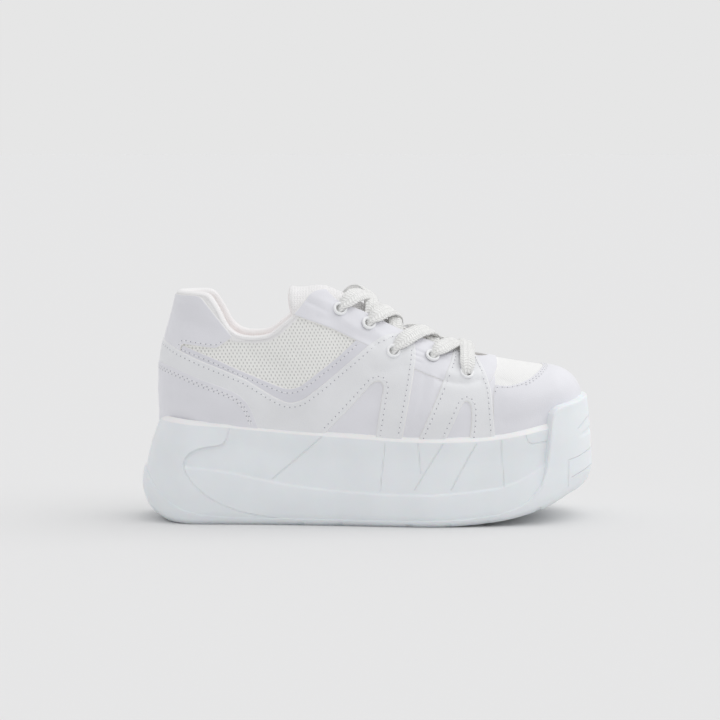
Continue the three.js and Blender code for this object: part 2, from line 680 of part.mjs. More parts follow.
// The tongue follows the upper's form from inside, and stands out of the collar.
function tongueSolid() {
  const layer = cut(
    upperForm({ grow: tongueGrow, column: "tongue" }),
    upperForm({ grow: tongueGrow - tongueThickness, column: "tongue", skirt: 20 }),
  );
  const rows = [
    { at: 0.328, half: tongueHalfTop * 0.86 },
    { at: 0.338, half: tongueHalfTop },
    { at: 0.44, half: tongueHalfTop },
    { at: 0.6, half: (tongueHalfTop + tongueHalfToe) / 2 },
    { at: 0.775, half: tongueHalfToe },
  ];
  const edge = (side) =>
    rows.map(({ at, half }) => new THREE.Vector2(at * soleLength, middle(at * soleLength) + side * half));
  const shape = new THREE.Shape([...edge(-1), ...edge(1).reverse()]);
  return layer.intersect(planPrism(shape, rimHeight + 0.2 * collarRise, far));
}

// A flat lace through places that each have an outward direction, its broad side facing outward.
function laceAlong(places, steps) {
  const line = new THREE.CatmullRomCurve3(places.map(({ here }) => here));
  const facing = new THREE.CatmullRomCurve3(places.map(({ outward }) => outward));
  const around = 6;
  const rings = Array.from({ length: steps + 1 }, (_, k) => {
    const here = line.getPoint(k / steps);
    const ahead = line.getTangent(k / steps);
    const broad = ahead.clone().cross(facing.getPoint(k / steps)).normalize();
    const deep = broad.clone().cross(ahead).normalize();
    return Array.from({ length: around }, (__, i) => {
      const turn = (2 * Math.PI * i) / around;
      return here
        .clone()
        .addScaledVector(broad, (-Math.cos(turn) * laceWidth) / 2)
        .addScaledVector(deep, (Math.sin(turn) * laceThickness) / 2 / Math.sin(Math.PI / 3));
    });
  });
  return solidFromRings(rings);
}

// A place for the lace's middle line: over the panels at weight 1, over the tongue at weight 0.
function lacePlace(x, y, weight, lift = 0) {
  const bottom = clearance + laceThickness / 2;
  const raised = ({ here, outward }, by) => here.addScaledVector(outward, by + bottom);
  const panel = faceOver(x, y, panelFace, "top");
  const tongue = faceOver(x, y, tongueGrow, "tongue");
  const outward = tongue.outward.clone().lerp(panel.outward, weight).normalize();
  const here = raised(tongue, lift + clearance).lerp(raised(panel, lift + eyeletProud), weight);
  return { here, outward };
}

// A lace from the eyelet over the throat's near edge, down to the tongue by the far edge nearer the toe.
function laceDiagonal({ here, side }, towardsToe, lift) {
  const start = Math.abs(here.y - middle(here.x));
  const end = -0.76 * throatHalf(towardsToe);
  const places = [0, 0.15, 0.3, 0.48, 0.66, 0.84, 1].map((share) => {
    const x = lerp(here.x, towardsToe, share);
    const away = lerp(start, end, share);
    const weight = smoothstep(away, -0.5 * throatHalf(x), throatHalf(x));
    return lacePlace(x, middle(x) + side * away, weight, lift * Math.sin(Math.PI * share));
  });
  return laceAlong(places, 6);
}

function laceSolids() {
  const outer = eyelets.filter(({ side }) => side < 0);
  const inner = eyelets.filter(({ side }) => side > 0);
  const crossings = eyeletTable.slice(0, -1).map((_, i) => {
    const reach = outer[i + 1].here.x - 0.35 * laceWidth;
    return laceDiagonal(inner[i], reach, 0.6).add(laceDiagonal(outer[i], reach, 2));
  });
  const [a, b] = [outer, inner].map((row) => row[row.length - 1].here);
  const bar = [0, 0.12, 0.3, 0.5, 0.7, 0.88, 1].map((share) => {
    const lift = clearance + Math.sin(Math.PI * share);
    return lacePlace(a.x, lerp(a.y, b.y, share), 1, lift);
  });
  return [...crossings, laceAlong(bar, 8)];
}

// A turned ring with a flange on the panel and a barrel through it.
function eyeletGeometry() {
  const barrel = eyeletHole + 0.8;
  const depth = overlayThickness + upperWall;
  const profile = [
    new THREE.Vector2(eyeletHole, -depth),
    new THREE.Vector2(barrel, -depth),
    new THREE.Vector2(barrel, 3 * clearance),
    new THREE.Vector2(eyeletRim, 3 * clearance),
    new THREE.Vector2(eyeletHole, eyeletProud),
    new THREE.Vector2(eyeletHole, -depth),
  ];
  return new THREE.LatheGeometry(profile, 8);
}

const finish = (color, roughness) => new THREE.MeshStandardMaterial({ color, roughness, metalness: 0 });
const paleLeather = finish(0xdfdfe8, 0.45);
const whiteLeather = finish(0xe6e9eb, 0.5);
const whiteMesh = finish(0xe4e3e0, 0.9);
const solePlastic = finish(0xdde3e7, 0.5);
const cottonLace = finish(0xf4f4f2, 0.95);

const shoe = new THREE.Group();
const { outsole, midsole } = soleSolids();
shoe.add(meshFromSolid("outsole", outsole, solePlastic));
shoe.add(meshFromSolid("midsole", midsole, solePlastic));
shoe.add(meshFromSolid("insole", insoleSolid(), whiteMesh));
shoe.add(meshFromSolid("upper", upperSolid(), whiteMesh));
shoe.add(meshFromSolid("tongue", tongueSolid(), whiteMesh));
for (const [name, { solid, material }] of Object.entries(panelSolids())) {
  shoe.add(meshFromSolid(name, solid, material));
}
for (const eyelet of eyelets) {
  const solid = solidFromGeometry(standOn(eyeletGeometry(), eyelet));
  shoe.add(meshFromSolid(eyelet.name, solid, whiteLeather));
}
laceSolids().forEach((solid, i) => {
  const name = i < eyeletTable.length - 1 ? `lace_crossing_${i + 1}` : "lace_bar";
  shoe.add(meshFromSolid(name, solid, cottonLace));
});

// The origin goes under the middle of the shoe's box.
const size = new THREE.Box3().setFromObject(shoe);
const centre = size.getCenter(new THREE.Vector3());
shoe.position.set(-centre.x, -centre.y, -size.min.z);

export default shoe;
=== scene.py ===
"""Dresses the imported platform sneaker: its sole, upper, sewn panels, tongue, insole, eyelets and lace.

Lengths inside the classes are millimetres in the shoe's own frame: x runs from the sole's heel to its toe, y
across with the outer side negative, and z up from the ground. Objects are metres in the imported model's frame.
"""

import logging
import math
from dataclasses import dataclass, field
from enum import Enum

import bpy
import numpy as np
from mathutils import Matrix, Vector


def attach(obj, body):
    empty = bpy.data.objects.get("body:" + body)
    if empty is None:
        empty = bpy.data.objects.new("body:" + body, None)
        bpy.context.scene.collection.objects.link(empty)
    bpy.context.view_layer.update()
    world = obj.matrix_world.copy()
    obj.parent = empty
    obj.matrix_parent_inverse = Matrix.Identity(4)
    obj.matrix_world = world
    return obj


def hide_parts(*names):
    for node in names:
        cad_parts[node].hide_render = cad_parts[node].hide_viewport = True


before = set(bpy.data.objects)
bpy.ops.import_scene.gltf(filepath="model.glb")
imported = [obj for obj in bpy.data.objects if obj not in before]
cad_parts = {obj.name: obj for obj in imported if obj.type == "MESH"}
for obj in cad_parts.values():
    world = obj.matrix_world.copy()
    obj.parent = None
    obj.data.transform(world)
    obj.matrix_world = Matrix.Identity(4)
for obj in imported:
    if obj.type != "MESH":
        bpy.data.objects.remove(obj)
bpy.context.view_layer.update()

log = logging.getLogger("sneaker")

FRAME_SHIFT = (-142.992, -0.706, 0.0)  # from the shoe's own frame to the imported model's, in mm
Points = np.ndarray


class Side(Enum):
    """Which half of the shoe a piece lies on."""

    OUTER = -1
    INNER = 1
    BOTH = 0


class Table:
    """A short table of rows along the shoe, read smoothly between them with no overshoot."""

    def __init__(self, columns: tuple[str, ...], rows: list[tuple[float, ...]]) -> None:
        """Keeps the rows.

        Args:
            columns: Names of the columns; the first is the one that the rows run along.
            rows: One tuple of numbers for each row.
        """
        values = np.array(rows, dtype=float)
        self.along = values[:, 0]
        self.values = {name: values[:, i] for i, name in enumerate(columns)}

    def read(self, column: str, at: Points | float) -> Points:
        """Reads a column.

        Args:
            column: Name of the column.
            at: Where to read it.

        Returns:
            Its values there.
        """
        at = np.clip(np.asarray(at, dtype=float), self.along[0], self.along[-1])
        y = self.values[column]
        gap = np.diff(self.along)
        rate = np.diff(y) / gap
        slope = np.empty_like(y)
        slope[0], slope[-1] = rate[0], rate[-1]
        product = rate[:-1] * rate[1:]
        total = np.where(np.abs(rate[:-1] + rate[1:]) < 1e-12, 1.0, rate[:-1] + rate[1:])
        slope[1:-1] = np.where(product <= 0, 0.0, 2 * product / total)
        row = np.clip(np.searchsorted(self.along, at, side="right") - 1, 0, len(gap) - 1)
        s = (at - self.along[row]) / gap[row]
        bend = s * s * (3 - 2 * s)
        return (
            y[row] * (1 - bend)
            + y[row + 1] * bend
            + slope[row] * gap[row] * s * (1 - s) ** 2
            - slope[row + 1] * gap[row] * s * s * (1 - s)
        )


PLAN = Table(
    ("at", "middle", "half"),
    [
        (0.0, 0.0, 0.74), (0.12, 0.0, 0.74), (0.25, -0.01, 0.75), (0.4, -0.05, 0.79), (0.55, -0.055, 0.89),
        (0.64, -0.03, 0.965), (0.72, 0.01, 0.985), (0.82, 0.06, 0.95), (0.9, 0.1, 0.88), (1.0, 0.14, 0.8),
    ],
)
SIDE_VIEW = Table(
    ("at", "ground", "heel_ground", "rim"),
    [
        (0.0, 0, 1, 1.0), (0.03, 0, 0.8, 1.0), (0.07, 0, 0.35, 0.99), (0.13, 0, 0, 0.966), (0.19, 0, 0, 0.95),
        (0.26, 0, 0, 0.922), (0.4, 0, 0, 0.878), (0.5, 0, 0, 0.853), (0.59, 0, 0, 0.832),
        (0.66, 0.005, 0, 0.83),
        (0.725, 0.065, 0, 0.836), (0.78, 0.15, 0, 0.852), (0.83, 0.3, 0, 0.88), (0.89, 0.57, 0, 0.93),
        (0.95, 0.93, 0, 0.985), (1.0, 1.0, 0, 1.0),
    ],
)
WALL = Table(
    ("up", "heel", "side", "toe"),
    [
        (0.0, 3.3, 1.1, 3.2), (0.05, 1.8, 0.35, 1.8), (0.14, 0.65, 0.05, 0.7), (0.3, 0, 0, 0.05),
        (0.5, 0.55, 0.2, 0.15), (0.75, 1.35, 0.6, 0.5), (1.0, 2.6, 1.0, 1.0),
    ],
)
CROWN = Table(
    ("at", "top", "tongue", "square"),
    [
        (0.0, 1.36, 1.1, 2.8), (0.3, 1.36, 1.08, 2.7), (0.36, 1.31, 1.05, 2.5), (0.39, 1.24, 1.035, 2.35),
        (0.435, 1.075, 0.975, 2.2), (0.505, 0.905, 0.845, 2.2), (0.555, 0.78, 0.72, 2.2),
        (0.64, 0.615, 0.55, 2.3), (0.7, 0.52, 0.455, 2.35), (0.755, 0.46, 0.395, 2.4), (0.86, 0.39, 0.325, 2.5),
        (0.93, 0.355, 0.28, 2.6), (1.0, 0.33, 0.25, 2.6),
    ],
)
COLLAR = Table(
    ("at", "up"),
    [
        (0.0, 0.985), (0.145, 0.975), (0.17, 0.88), (0.2, 0.715), (0.225, 0.662), (0.25, 0.652), (0.28, 0.665),
        (0.315, 0.755), (0.342, 0.84), (0.383, 1.005), (0.4, 1.018), (0.44, 1.018),
    ],
)


def smoothstep(value: Points, low: Points | float, high: Points | float) -> Points:
    """Rises smoothly from 0 at low to 1 at high."""
    s = np.clip((np.asarray(value, dtype=float) - low) / (np.asarray(high) - low), 0, 1)
    return s * s * (3 - 2 * s)


def mix(a: Points | float, b: Points | float, share: Points | float) -> Points:
    """Goes straight from a to b by a share."""
    return a + (b - a) * share


def unit(vectors: Points) -> Points:
    """Scales vectors, held along the last axis, to length 1."""
    return vectors / np.maximum(np.linalg.norm(vectors, axis=-1, keepdims=True), 1e-9)


def to_metres(points: Points) -> Points:
    """Takes points from the shoe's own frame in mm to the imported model's in metres."""
    return (np.asarray(points, dtype=float) + np.array(FRAME_SHIFT)) / 1000.0


@dataclass
class Grid:
    """A surface of points that runs round the shoe in columns and up in rows.

    Attributes:
        points: Places, as columns by rows by 3.
        uv: Lengths along and up the surface in mm, as columns by rows by 2.
        welded: Whether the last row of the second half is the first half's, turned back.
        normals: Outward directions, worked out from the points where they aren't given.
    """

    points: Points
    uv: Points
    welded: bool = False
    normals: Points = field(default=None)

    def __post_init__(self) -> None:
        """Works out the outward directions."""
        if self.normals is None:
            across, up = self.tangents(self.points)
            self.normals = unit(np.cross(across, up))

    @staticmethod
    def tangents(values: Points) -> tuple[Points, Points]:
        """Differences of a value round and up the grid.

        Args:
            values: The value at each column and row.

        Returns:
            Its differences round the grid, which closes on itself, and up it.
        """
        round_it = (np.roll(values, -1, axis=0) - np.roll(values, 1, axis=0)) / 2
        return round_it, np.gradient(values, axis=1)

    def true_distance(self, reach: Points) -> Points:
        """Turns a distance seen from one side into one along the surface.

        Args:
            reach: Signed distance of each point as seen, in mm.

        Returns:
            The distance measured along the surface.
        """
        pu, pv = self.tangents(self.points)
        fu, fv = self.tangents(reach)
        e, f, g = (pu * pu).sum(-1), (pu * pv).sum(-1), (pv * pv).sum(-1)
        area = np.maximum(e * g - f * f, 1e-6)
        steep = np.sqrt(np.maximum((g * fu**2 - 2 * f * fu * fv + e * fv**2) / area, 0))
        return reach / np.clip(steep, 0.35, 1.6)

    def offset(self, by: Points | float) -> Points:
        """Points moved outward by a distance."""
        return self.points + self.normals * np.asarray(by)[..., None]


@dataclass
class ShoeForm:
    """The sole's and the upper's own functions, as the solids have them."""

    length: float = 285.0
    ball_width: float = 106.0
    rim_height: float = 67.0
    collar_rise: float = 78.0
    toe_spring: float = 18.0
    heel_spring: float = 2.0
    cup_depth: float = 13.0
    rim_thickness: float = 3.0
    rim_lean: float = 4.3
    upper_bulge: float = 2.0
    heel_set_back: float = 12.2
    toe_set_back: float = 6.6
    heel_lean: float = 9.5
    collar_pad: float = 3.6
    throat_half_top: float = 19.0
    throat_half_toe: float = 13.0
    throat_start: float = 0.43
    throat_end: float = 0.72
    clearance: float = 0.3

    def ground(self, x: Points) -> Points:
        """Height of the sole's underside."""
        at = np.asarray(x) / self.length
        toe = SIDE_VIEW.read("ground", at) * self.toe_spring
        return toe + SIDE_VIEW.read("heel_ground", at) * self.heel_spring

    def rim(self, x: Points) -> Points:
        """Height of the top of the sole's wall."""
        return SIDE_VIEW.read("rim", np.asarray(x) / self.length) * self.rim_height

    def cup_floor(self, x: Points) -> Points:
        """Height of the floor inside the sole's wall."""
        return self.rim(x) - self.cup_depth

    def middle(self, x: Points) -> Points:
        """The plan's middle line."""
        return PLAN.read("middle", np.asarray(x) / self.length) * self.ball_width / 2

    def half_width(self, x: Points) -> Points:
        """Half the sole's width before its ends are rounded."""
        return PLAN.read("half", np.asarray(x) / self.length) * self.ball_width / 2

    def end_rounding(self, x: Points, back: float, front: float) -> Points:
        """Narrows the plan to a squarish round end at heel and toe.

        Args:
            x: Places along the shoe.
            back: Where the heel ends.
            front: Where the toe ends.

        Returns:
            1 along the sides, falling to 0 at the ends.
        """
        heel_power, toe_power = 2.2, 2.5
        from_heel = 1 - np.clip((x - back) / (0.36 * self.ball_width), 0, 1)
        from_toe = 1 - np.clip((front - x) / (0.5 * self.ball_width), 0, 1)
        heel = (1 - from_heel**heel_power) ** (1 / heel_power)
        return heel * (1 - from_toe**toe_power) ** (1 / toe_power)

    def collar_line(self, x: Points) -> Points:
        """Height of the collar's edge."""
        return self.rim_height + COLLAR.read("up", np.asarray(x) / self.length) * self.collar_rise

    def throat_half(self, x: Points) -> Points:
        """Half the throat's width."""
        span = self.throat_end - self.throat_start
        share = np.clip((np.asarray(x) / self.length - self.throat_start) / span, 0, 1)
        return mix(self.throat_half_top, self.throat_half_toe, share)

    def crown(self, x: Points, grow: float, column: str) -> Points:
        """Top of the upper's closed form, with the toe rounded over.

        Args:
            x: Places along the shoe.
            grow: How far the form is grown all round.
            column: Which crown, the upper's or the tongue's.

        Returns:
            The heights.
        """
        rounding, power = 0.075 * self.length, 2.4
        from_toe = np.clip(1 - (self.length - self.toe_set_back + grow - x) / rounding, 0, 1)
        above = CROWN.read(column, x / self.length) * self.collar_rise
        ahead = CROWN.read(column, (x + 1) / self.length) * self.collar_rise
        lift = grow * np.hypot(1, ahead - above)
        drop = 0.27 * self.collar_rise * (1 - (1 - from_toe**power) ** (1 / power))
        return self.rim_height + above + lift - drop

    def upper_point(self, x: Points, side: Points, turn: Points, grow: float, padded: bool, column: str) -> Points:
        """A point of the upper's form.

        Args:
            x: Where its section stands.
            side: -1 for the outer side and 1 for the inner.
            turn: Angle up the section, from 0 at its foot to a quarter turn at its crown.
            grow: How far the form is grown all round.
            padded: Whether it is drawn in near the collar by the padding.
            column: Which crown it has.

        Returns:
            The points, by 3 along the last axis.
        """
        back, front = self.heel_set_back - grow, self.length - self.toe_set_back + grow
        low, top = self.cup_floor(x), self.crown(x, grow, column)
        half = self.half_width(x) - self.rim_lean - self.rim_thickness - self.clearance + grow
        power = CROWN.read("square", x / self.length)
        z = low + (top - low) * np.sin(turn) ** (2 / power)
        pad = 0.0
        if padded:
            near = smoothstep(z, self.collar_line(x) - 34, self.collar_line(x) - 10)
            pad = self.collar_pad * near * (1 - smoothstep(x / self.length, 0.3, 0.37))
        bulge = self.upper_bulge * smoothstep(z, self.rim(x) - 2, self.rim(x) + 18)
        across = (half + bulge - pad) * self.end_rounding(x, back, front)
        across = across * np.maximum(np.cos(turn), 0) ** (2 / power)
        low_lean, high_lean = 0.35 * self.collar_rise, 1.15 * self.collar_rise
        leaning = smoothstep(z, self.rim_height + low_lean, self.rim_height + high_lean)
        fading = (1 - np.clip((x - back) / (0.33 * self.length), 0, 1)) ** 2
        shift = (self.heel_lean * 1.25 * leaning + pad) * fading
        return np.stack([x + shift, self.middle(x) + side * across, z], axis=-1)

    def shares(self, back: float, front: float, columns: int) -> Points:
        """Stations evenly spaced round the outer side's plan.

        Args:
            back: Where the plan starts.
            front: Where it ends.
            columns: How many steps there are from heel to toe.

        Returns:
            Their places along the shoe.
        """
        turn = np.linspace(0, math.pi, 6001)
        x = mix(back, front, (1 - np.cos(turn)) / 2)
        y = self.half_width(x) * self.end_rounding(x, back, front) - self.middle(x)
        run = np.concatenate([[0], np.cumsum(np.hypot(np.diff(x), np.diff(y)))])
        return np.interp(np.linspace(0, run[-1], columns + 1), run, x)

    def upper_grid(self, grow: float = 0.0, padded: bool = False, column: str = "top",
                   columns: int = 330, rows: int = 118) -> Grid:
        """The upper's form as a grid, with rows evenly spaced up each section.

        Args:
            grow: How far it is grown all round.
            padded: Whether it is drawn in near the collar.
            column: Which crown it has.
            columns: Steps from heel to toe.
            rows: Rows up each section.

        Returns:
            The grid, closed at the crown.
        """
        along = self.shares(self.heel_set_back - grow, self.length - self.toe_set_back + grow, columns)
        x = np.concatenate([along, along[-2:0:-1]])[:, None]
        side = np.where(np.arange(len(x)) <= columns, -1.0, 1.0)[:, None]
        dense = (math.pi / 2) * np.linspace(0, 1, 241)[None, :]
        trial = self.upper_point(x + 0 * dense, side, dense + 0 * x, grow, padded, column)
        run = np.concatenate(
            [np.zeros((len(x), 1)), np.cumsum(np.linalg.norm(np.diff(trial, axis=1), axis=-1), axis=1)], axis=1
        )
        share = np.linspace(0, 1, rows)
        turn = np.stack([np.interp(share * run[i, -1], run[i], dense[0]) for i in range(len(x))])
        turn[:, -1] = math.pi / 2
        points = self.upper_point(x + 0 * turn, side, turn, grow, padded, column)
        points[:, -1, 1] = self.middle(x[:, 0])
        foot = points[:, rows // 3]
        steps = np.linalg.norm(np.roll(foot, -1, axis=0) - foot, axis=-1)
        u = np.concatenate([[0], np.cumsum(steps)[:-1]])
        uv = np.stack([u[:, None] + 0 * turn, run[:, -1:] * share[None, :]], axis=-1)
        return Grid(points, uv, welded=True)

    def wall_grid(self, grow: float = 0.0, rise: float = 0.0, columns: int = 340, rows: int = 76) -> Grid:
        """The sole's side as a grid.

        Args:
            grow: How far it is grown sideways.
            rise: How far its top is raised.
            columns: Steps from heel to toe.
            rows: Rows up the wall.

        Returns:
            The grid.
        """
        along = self.shares(0, self.length, columns)
        x = np.concatenate([along, along[-2:0:-1]])
        side = np.where(np.arange(len(x)) <= columns, -1.0, 1.0)
        y = self.middle(x) + side * self.half_width(x) * self.end_rounding(x, 0, self.length)
        plan = np.stack([x, y], axis=-1)
        forward = unit(np.roll(plan, -1, axis=0) - np.roll(plan, 1, axis=0))
        outward = np.stack([forward[:, 1], -forward[:, 0]], axis=-1)
        up = np.linspace(0, 1, rows)[None, :]
        lengthways = (outward[:, 0] ** 2)[:, None]
        end = np.where((outward[:, 0] < 0)[:, None], WALL.read("heel", up), WALL.read("toe", up))
        inset = self.rim_lean * mix(WALL.read("side", up), end, lengthways) - grow
        here = x[:, None] - outward[:, :1] * inset
        across = y[:, None] - outward[:, 1:] * inset
        low = self.ground(here)
        height = mix(low, self.rim(here) + rise * up, up)
        run = np.concatenate([[0], np.cumsum(np.linalg.norm(np.diff(plan, axis=0), axis=-1))])
        uv = np.stack([run[:, None] + 0 * inset, height - low], axis=-1)
        sideways = np.concatenate([outward, np.zeros((len(x), 1))], axis=1)[:, None] + 0 * height[..., None]
        return Grid(np.stack([here, across, height], axis=-1), uv, normals=sideways)


SHOE = ShoeForm()


class Outline:
    """A closed outline seen from the side."""

    def __init__(self, path: Points | list[tuple[float, float]]) -> None:
        """Keeps the outline's points, in mm."""
        self.path = np.array(path, dtype=float)

    @classmethod
    def rounded(cls, corners: list[tuple[float, float, float]], smooth: int = 7) -> "Outline":
        """Makes an outline through rounded corners.

        Args:
            corners: Share of the sole's length, height above the wall beside it as a share of the collar's rise,
                and rounding as a share of the length.
            smooth: Steps round each corner.

        Returns:
            The outline.
        """
        rows = np.array(corners, dtype=float)
        x = rows[:, 0] * SHOE.length
        points = np.stack([x, SHOE.rim(x) + rows[:, 1] * SHOE.collar_rise], axis=-1)
        path = []
        for i, point in enumerate(points):
            legs = []
            for other in (points[i - 1], points[(i + 1) % len(points)]):
                span = np.linalg.norm(other - point)
                reach = min(rows[i, 2] * SHOE.length, 0.48 * span)
                legs.append(point + (other - point) * reach / span)
            if rows[i, 2] == 0:
                path.append(point)
                continue
            for s in np.linspace(0, 1, smooth):
                path.append(legs[0] * (1 - s) ** 2 + 2 * point * s * (1 - s) + legs[1] * s * s)
        return cls(path)

    def distance(self, x: Points, z: Points) -> Points:
        """Signed distance to the outline.

        Args:
            x: Places along the shoe.
            z: Heights.

        Returns:
            The distances, negative inside.
        """
        start, end = self.path, np.roll(self.path, -1, axis=0)
        least = np.full(np.shape(x), np.inf)
        inside = np.zeros(np.shape(x), dtype=bool)
        for (ax, az), (bx, bz) in zip(start, end):
            least = np.minimum(least, to_segment(x, z, ax, az, bx, bz))
            if az != bz:
                crosses = (az > z) != (bz > z)
                inside ^= crosses & (x < (bx - ax) * (z - az) / (bz - az) + ax)
        return np.where(inside, -least, least)


def to_segment(x: Points, z: Points, ax: float, az: float, bx: float, bz: float) -> Points:
    """Distance from points to the straight piece between a and b."""
    run = max((bx - ax) ** 2 + (bz - az) ** 2, 1e-9)
    share = np.clip(((x - ax) * (bx - ax) + (z - az) * (bz - az)) / run, 0, 1)
    return np.hypot(x - ax - share * (bx - ax), z - az - share * (bz - az))


def to_path(x: Points, z: Points, path: list[tuple[float, float]]) -> Points:
    """Distance from points to an open line of straight pieces."""
    least = np.full(np.shape(x), np.inf)
    for (ax, az), (bx, bz) in zip(path[:-1], path[1:]):
        least = np.minimum(least, to_segment(x, z, ax, az, bx, bz))
    return least


class Trimmed:
    """The part of a grid where a field is below zero, cut cleanly along the field's edge."""

    def __init__(self, grid: Grid, reach: Points, bands: tuple[float, ...] = ()) -> None:
        """Cuts the grid.

        Args:
            grid: The surface to cut.
            reach: The field at its points: distance past the edge in mm, negative where kept.
            bands: Distances inside the edge where a further row of corners is wanted.
        """
        columns, rows = reach.shape
        count = columns * rows
        number = np.arange(count).reshape(columns, rows)
        if grid.welded:
            number[columns // 2 + 1:, -1] = number[columns // 2 - 1:0:-1, -1]
        fields = [grid.points.reshape(-1, 3), grid.normals.reshape(-1, 3), grid.uv.reshape(-1, 2)]
        self.data = list(np.concatenate([*fields, reach.reshape(-1, 1)], axis=1))
        ring = np.concatenate([number, number[:1]], axis=0)
        quads = np.stack([ring[:-1, :-1], ring[1:, :-1], ring[1:, 1:], ring[:-1, 1:]], axis=-1).reshape(-1, 4)
        value = reach.reshape(-1)[quads]
        whole = (value < 0).all(axis=1)
        mixed = ~whole & (value < 0).any(axis=1)
        self.edges: dict[tuple[int, int, float], int] = {}
        self.rim: list[tuple[int, int]] = []
        self.faces: list[list[int]] = [list(face) for face in quads[whole].tolist()]
        for face in quads[mixed].tolist():
            face = [v for i, v in enumerate(face) if v != face[i - 1]]
            kept, _, cut = self._split(face, 0.0)
            if len(kept) > 2:
                self.faces.append(kept)
                self.rim += cut
        for band in bands:
            self._add_band(-band)
        self.uv_jump = grid.uv[-1, 0, 0]

    def _split(self, face: list[int], level: float) -> tuple[list[int], list[int], list[tuple[int, int]]]:
        """Cuts a face where its field crosses a level.

        Args:
            face: The face's corners.
            level: The level.

        Returns:
            The corners below it, those above it, and the new edge between them.
        """
        below, above, marks = [], [], []
        for i, a in enumerate(face):
            b = face[(i + 1) % len(face)]
            fa, fb = self.data[a][8] - level, self.data[b][8] - level
            (below if fa < 0 else above).append(a)
            if fa == 0 and a not in below:
                below.append(a)
            if (fa < 0) != (fb < 0) and fa != 0 and fb != 0:
                key = (min(a, b), max(a, b), level)
                if key not in self.edges:
                    row = self.data[a] + (self.data[b] - self.data[a]) * fa / (fa - fb)
                    row[8] = level
                    self.edges[key] = len(self.data)
                    self.data.append(row)
                below.append(self.edges[key])
                above.append(self.edges[key])
                marks.append((self.edges[key], fa < 0))
        if len(marks) != 2:
            return below, above, []
        leaving, entering = (marks[0], marks[1]) if marks[0][1] else (marks[1], marks[0])
        return below, above, [(leaving[0], entering[0])]

    def _add_band(self, level: float) -> None:
        """Adds a row of corners along a level inside the edge."""
        faces = []
        for face in self.faces:
            values = [self.data[v][8] for v in face]
            if min(values) < level < max(values):
                below, above, _ = self._split(face, level)
                faces += [part for part in (below, above) if len(part) > 2]
            else:
                faces.append(face)
        self.faces = faces

    def contours(self, level: float) -> list[Points]:
        """Lines where the field has a value.

        Args:
            level: The value.

        Returns:
            One array for each line, with places, outward directions and the rest along the last axis.
        """
        after: dict[int, int] = {}
        for face in self.faces:
            values = [self.data[v][8] for v in face]
            if min(values) < level < max(values):
                for a, b in self._split(face, level)[2]:
                    after[a] = b
        before = {b: a for a, b in after.items()}
        lines = []
        while after:
            start = next(iter(after))
            here = start
            while here in before and before[here] in after and before[here] != start:
                here = before[here]
            chain = [here]
            while here in after:
                here = after.pop(here)
                chain.append(here)
            lines.append(np.array([self.data[v] for v in chain]))
        return lines

    def sheet(self, name: str, lift: float, thickness: float, edge: float, skirt: float,
              inward: bool = False) -> "bpy.types.Object":
        """Makes the kept part a sheet with a rolled edge.

        Args:
            name: Name of the piece.
            lift: Height of its underside over the grid.
            thickness: Its thickness.
            edge: Radius of its rolled edge.
            skirt: How far its edge reaches down below its underside.
            inward: Whether its faces look into the shoe.

        Returns:
            The piece.
        """
        used = sorted({v for face in self.faces for v in face})
        place = {v: i for i, v in enumerate(used)}
        data = np.array([self.data[v] for v in used])
        inside = np.clip(-data[:, 8], 0, None)
        fall = edge - np.sqrt(np.maximum(edge**2 - (edge - np.minimum(inside, edge)) ** 2, 0))
        points = data[:, :3] + data[:, 3:6] * (lift + thickness - fall)[:, None]
        faces = [[place[v] for v in face] for face in self.faces]
        uv, extra = data[:, 6:8], []
        if skirt:
            ends = sorted({v for pair in self.rim for v in pair if v in place})
            low = {v: len(used) + i for i, v in enumerate(ends)}
            rows = np.array([self.data[v] for v in ends]) if ends else np.zeros((0, 9))
            extra = rows[:, :3] + rows[:, 3:6] * (lift - skirt)
            points = np.concatenate([points, extra])
            uv = np.concatenate([uv, rows[:, 6:8]])
            inside = np.concatenate([inside, np.zeros(len(rows))])
            for a, b in self.rim:
                if a in low and b in low:
                    faces.append([place[b], place[a], low[a], low[b]])
        if inward:
            faces = [face[::-1] for face in faces]
        return build_mesh(name, points, faces, uv, {"inside": inside}, self.uv_jump)


def mend_lengths(along: Points, starts: Points, totals: Points, jump: float, apart: float = 25.0) -> Points:
    """Keeps the lengths of each face together where they start again, or where two halves meet at the crown.

    Args:
        along: Length round the shoe at each corner of each face.
        starts: Where each face's corners start.
        totals: How many corners each face has.
        jump: Where the lengths round the shoe start again from 0.
        apart: Difference within a face, in mm, past which its corners belong to two halves.

    Returns:
        The mended lengths.
    """
    high = np.repeat(np.maximum.reduceat(along, starts), totals)
    along = np.where((high > jump * 0.75) & (along < jump * 0.25), along + jump, along)
    low = np.repeat(np.minimum.reduceat(along, starts), totals)
    high = np.repeat(np.maximum.reduceat(along, starts), totals)
    split, lower = high - low > apart, along < (low + high) / 2
    means = []
    for side in (split & lower, split & ~lower):
        sums = np.add.reduceat(np.where(side, along, 0.0), starts)
        means.append(np.repeat(sums / np.maximum(np.add.reduceat(side.astype(float), starts), 1), totals))
    return np.where(split & lower, means[0] + means[1] - along, along)


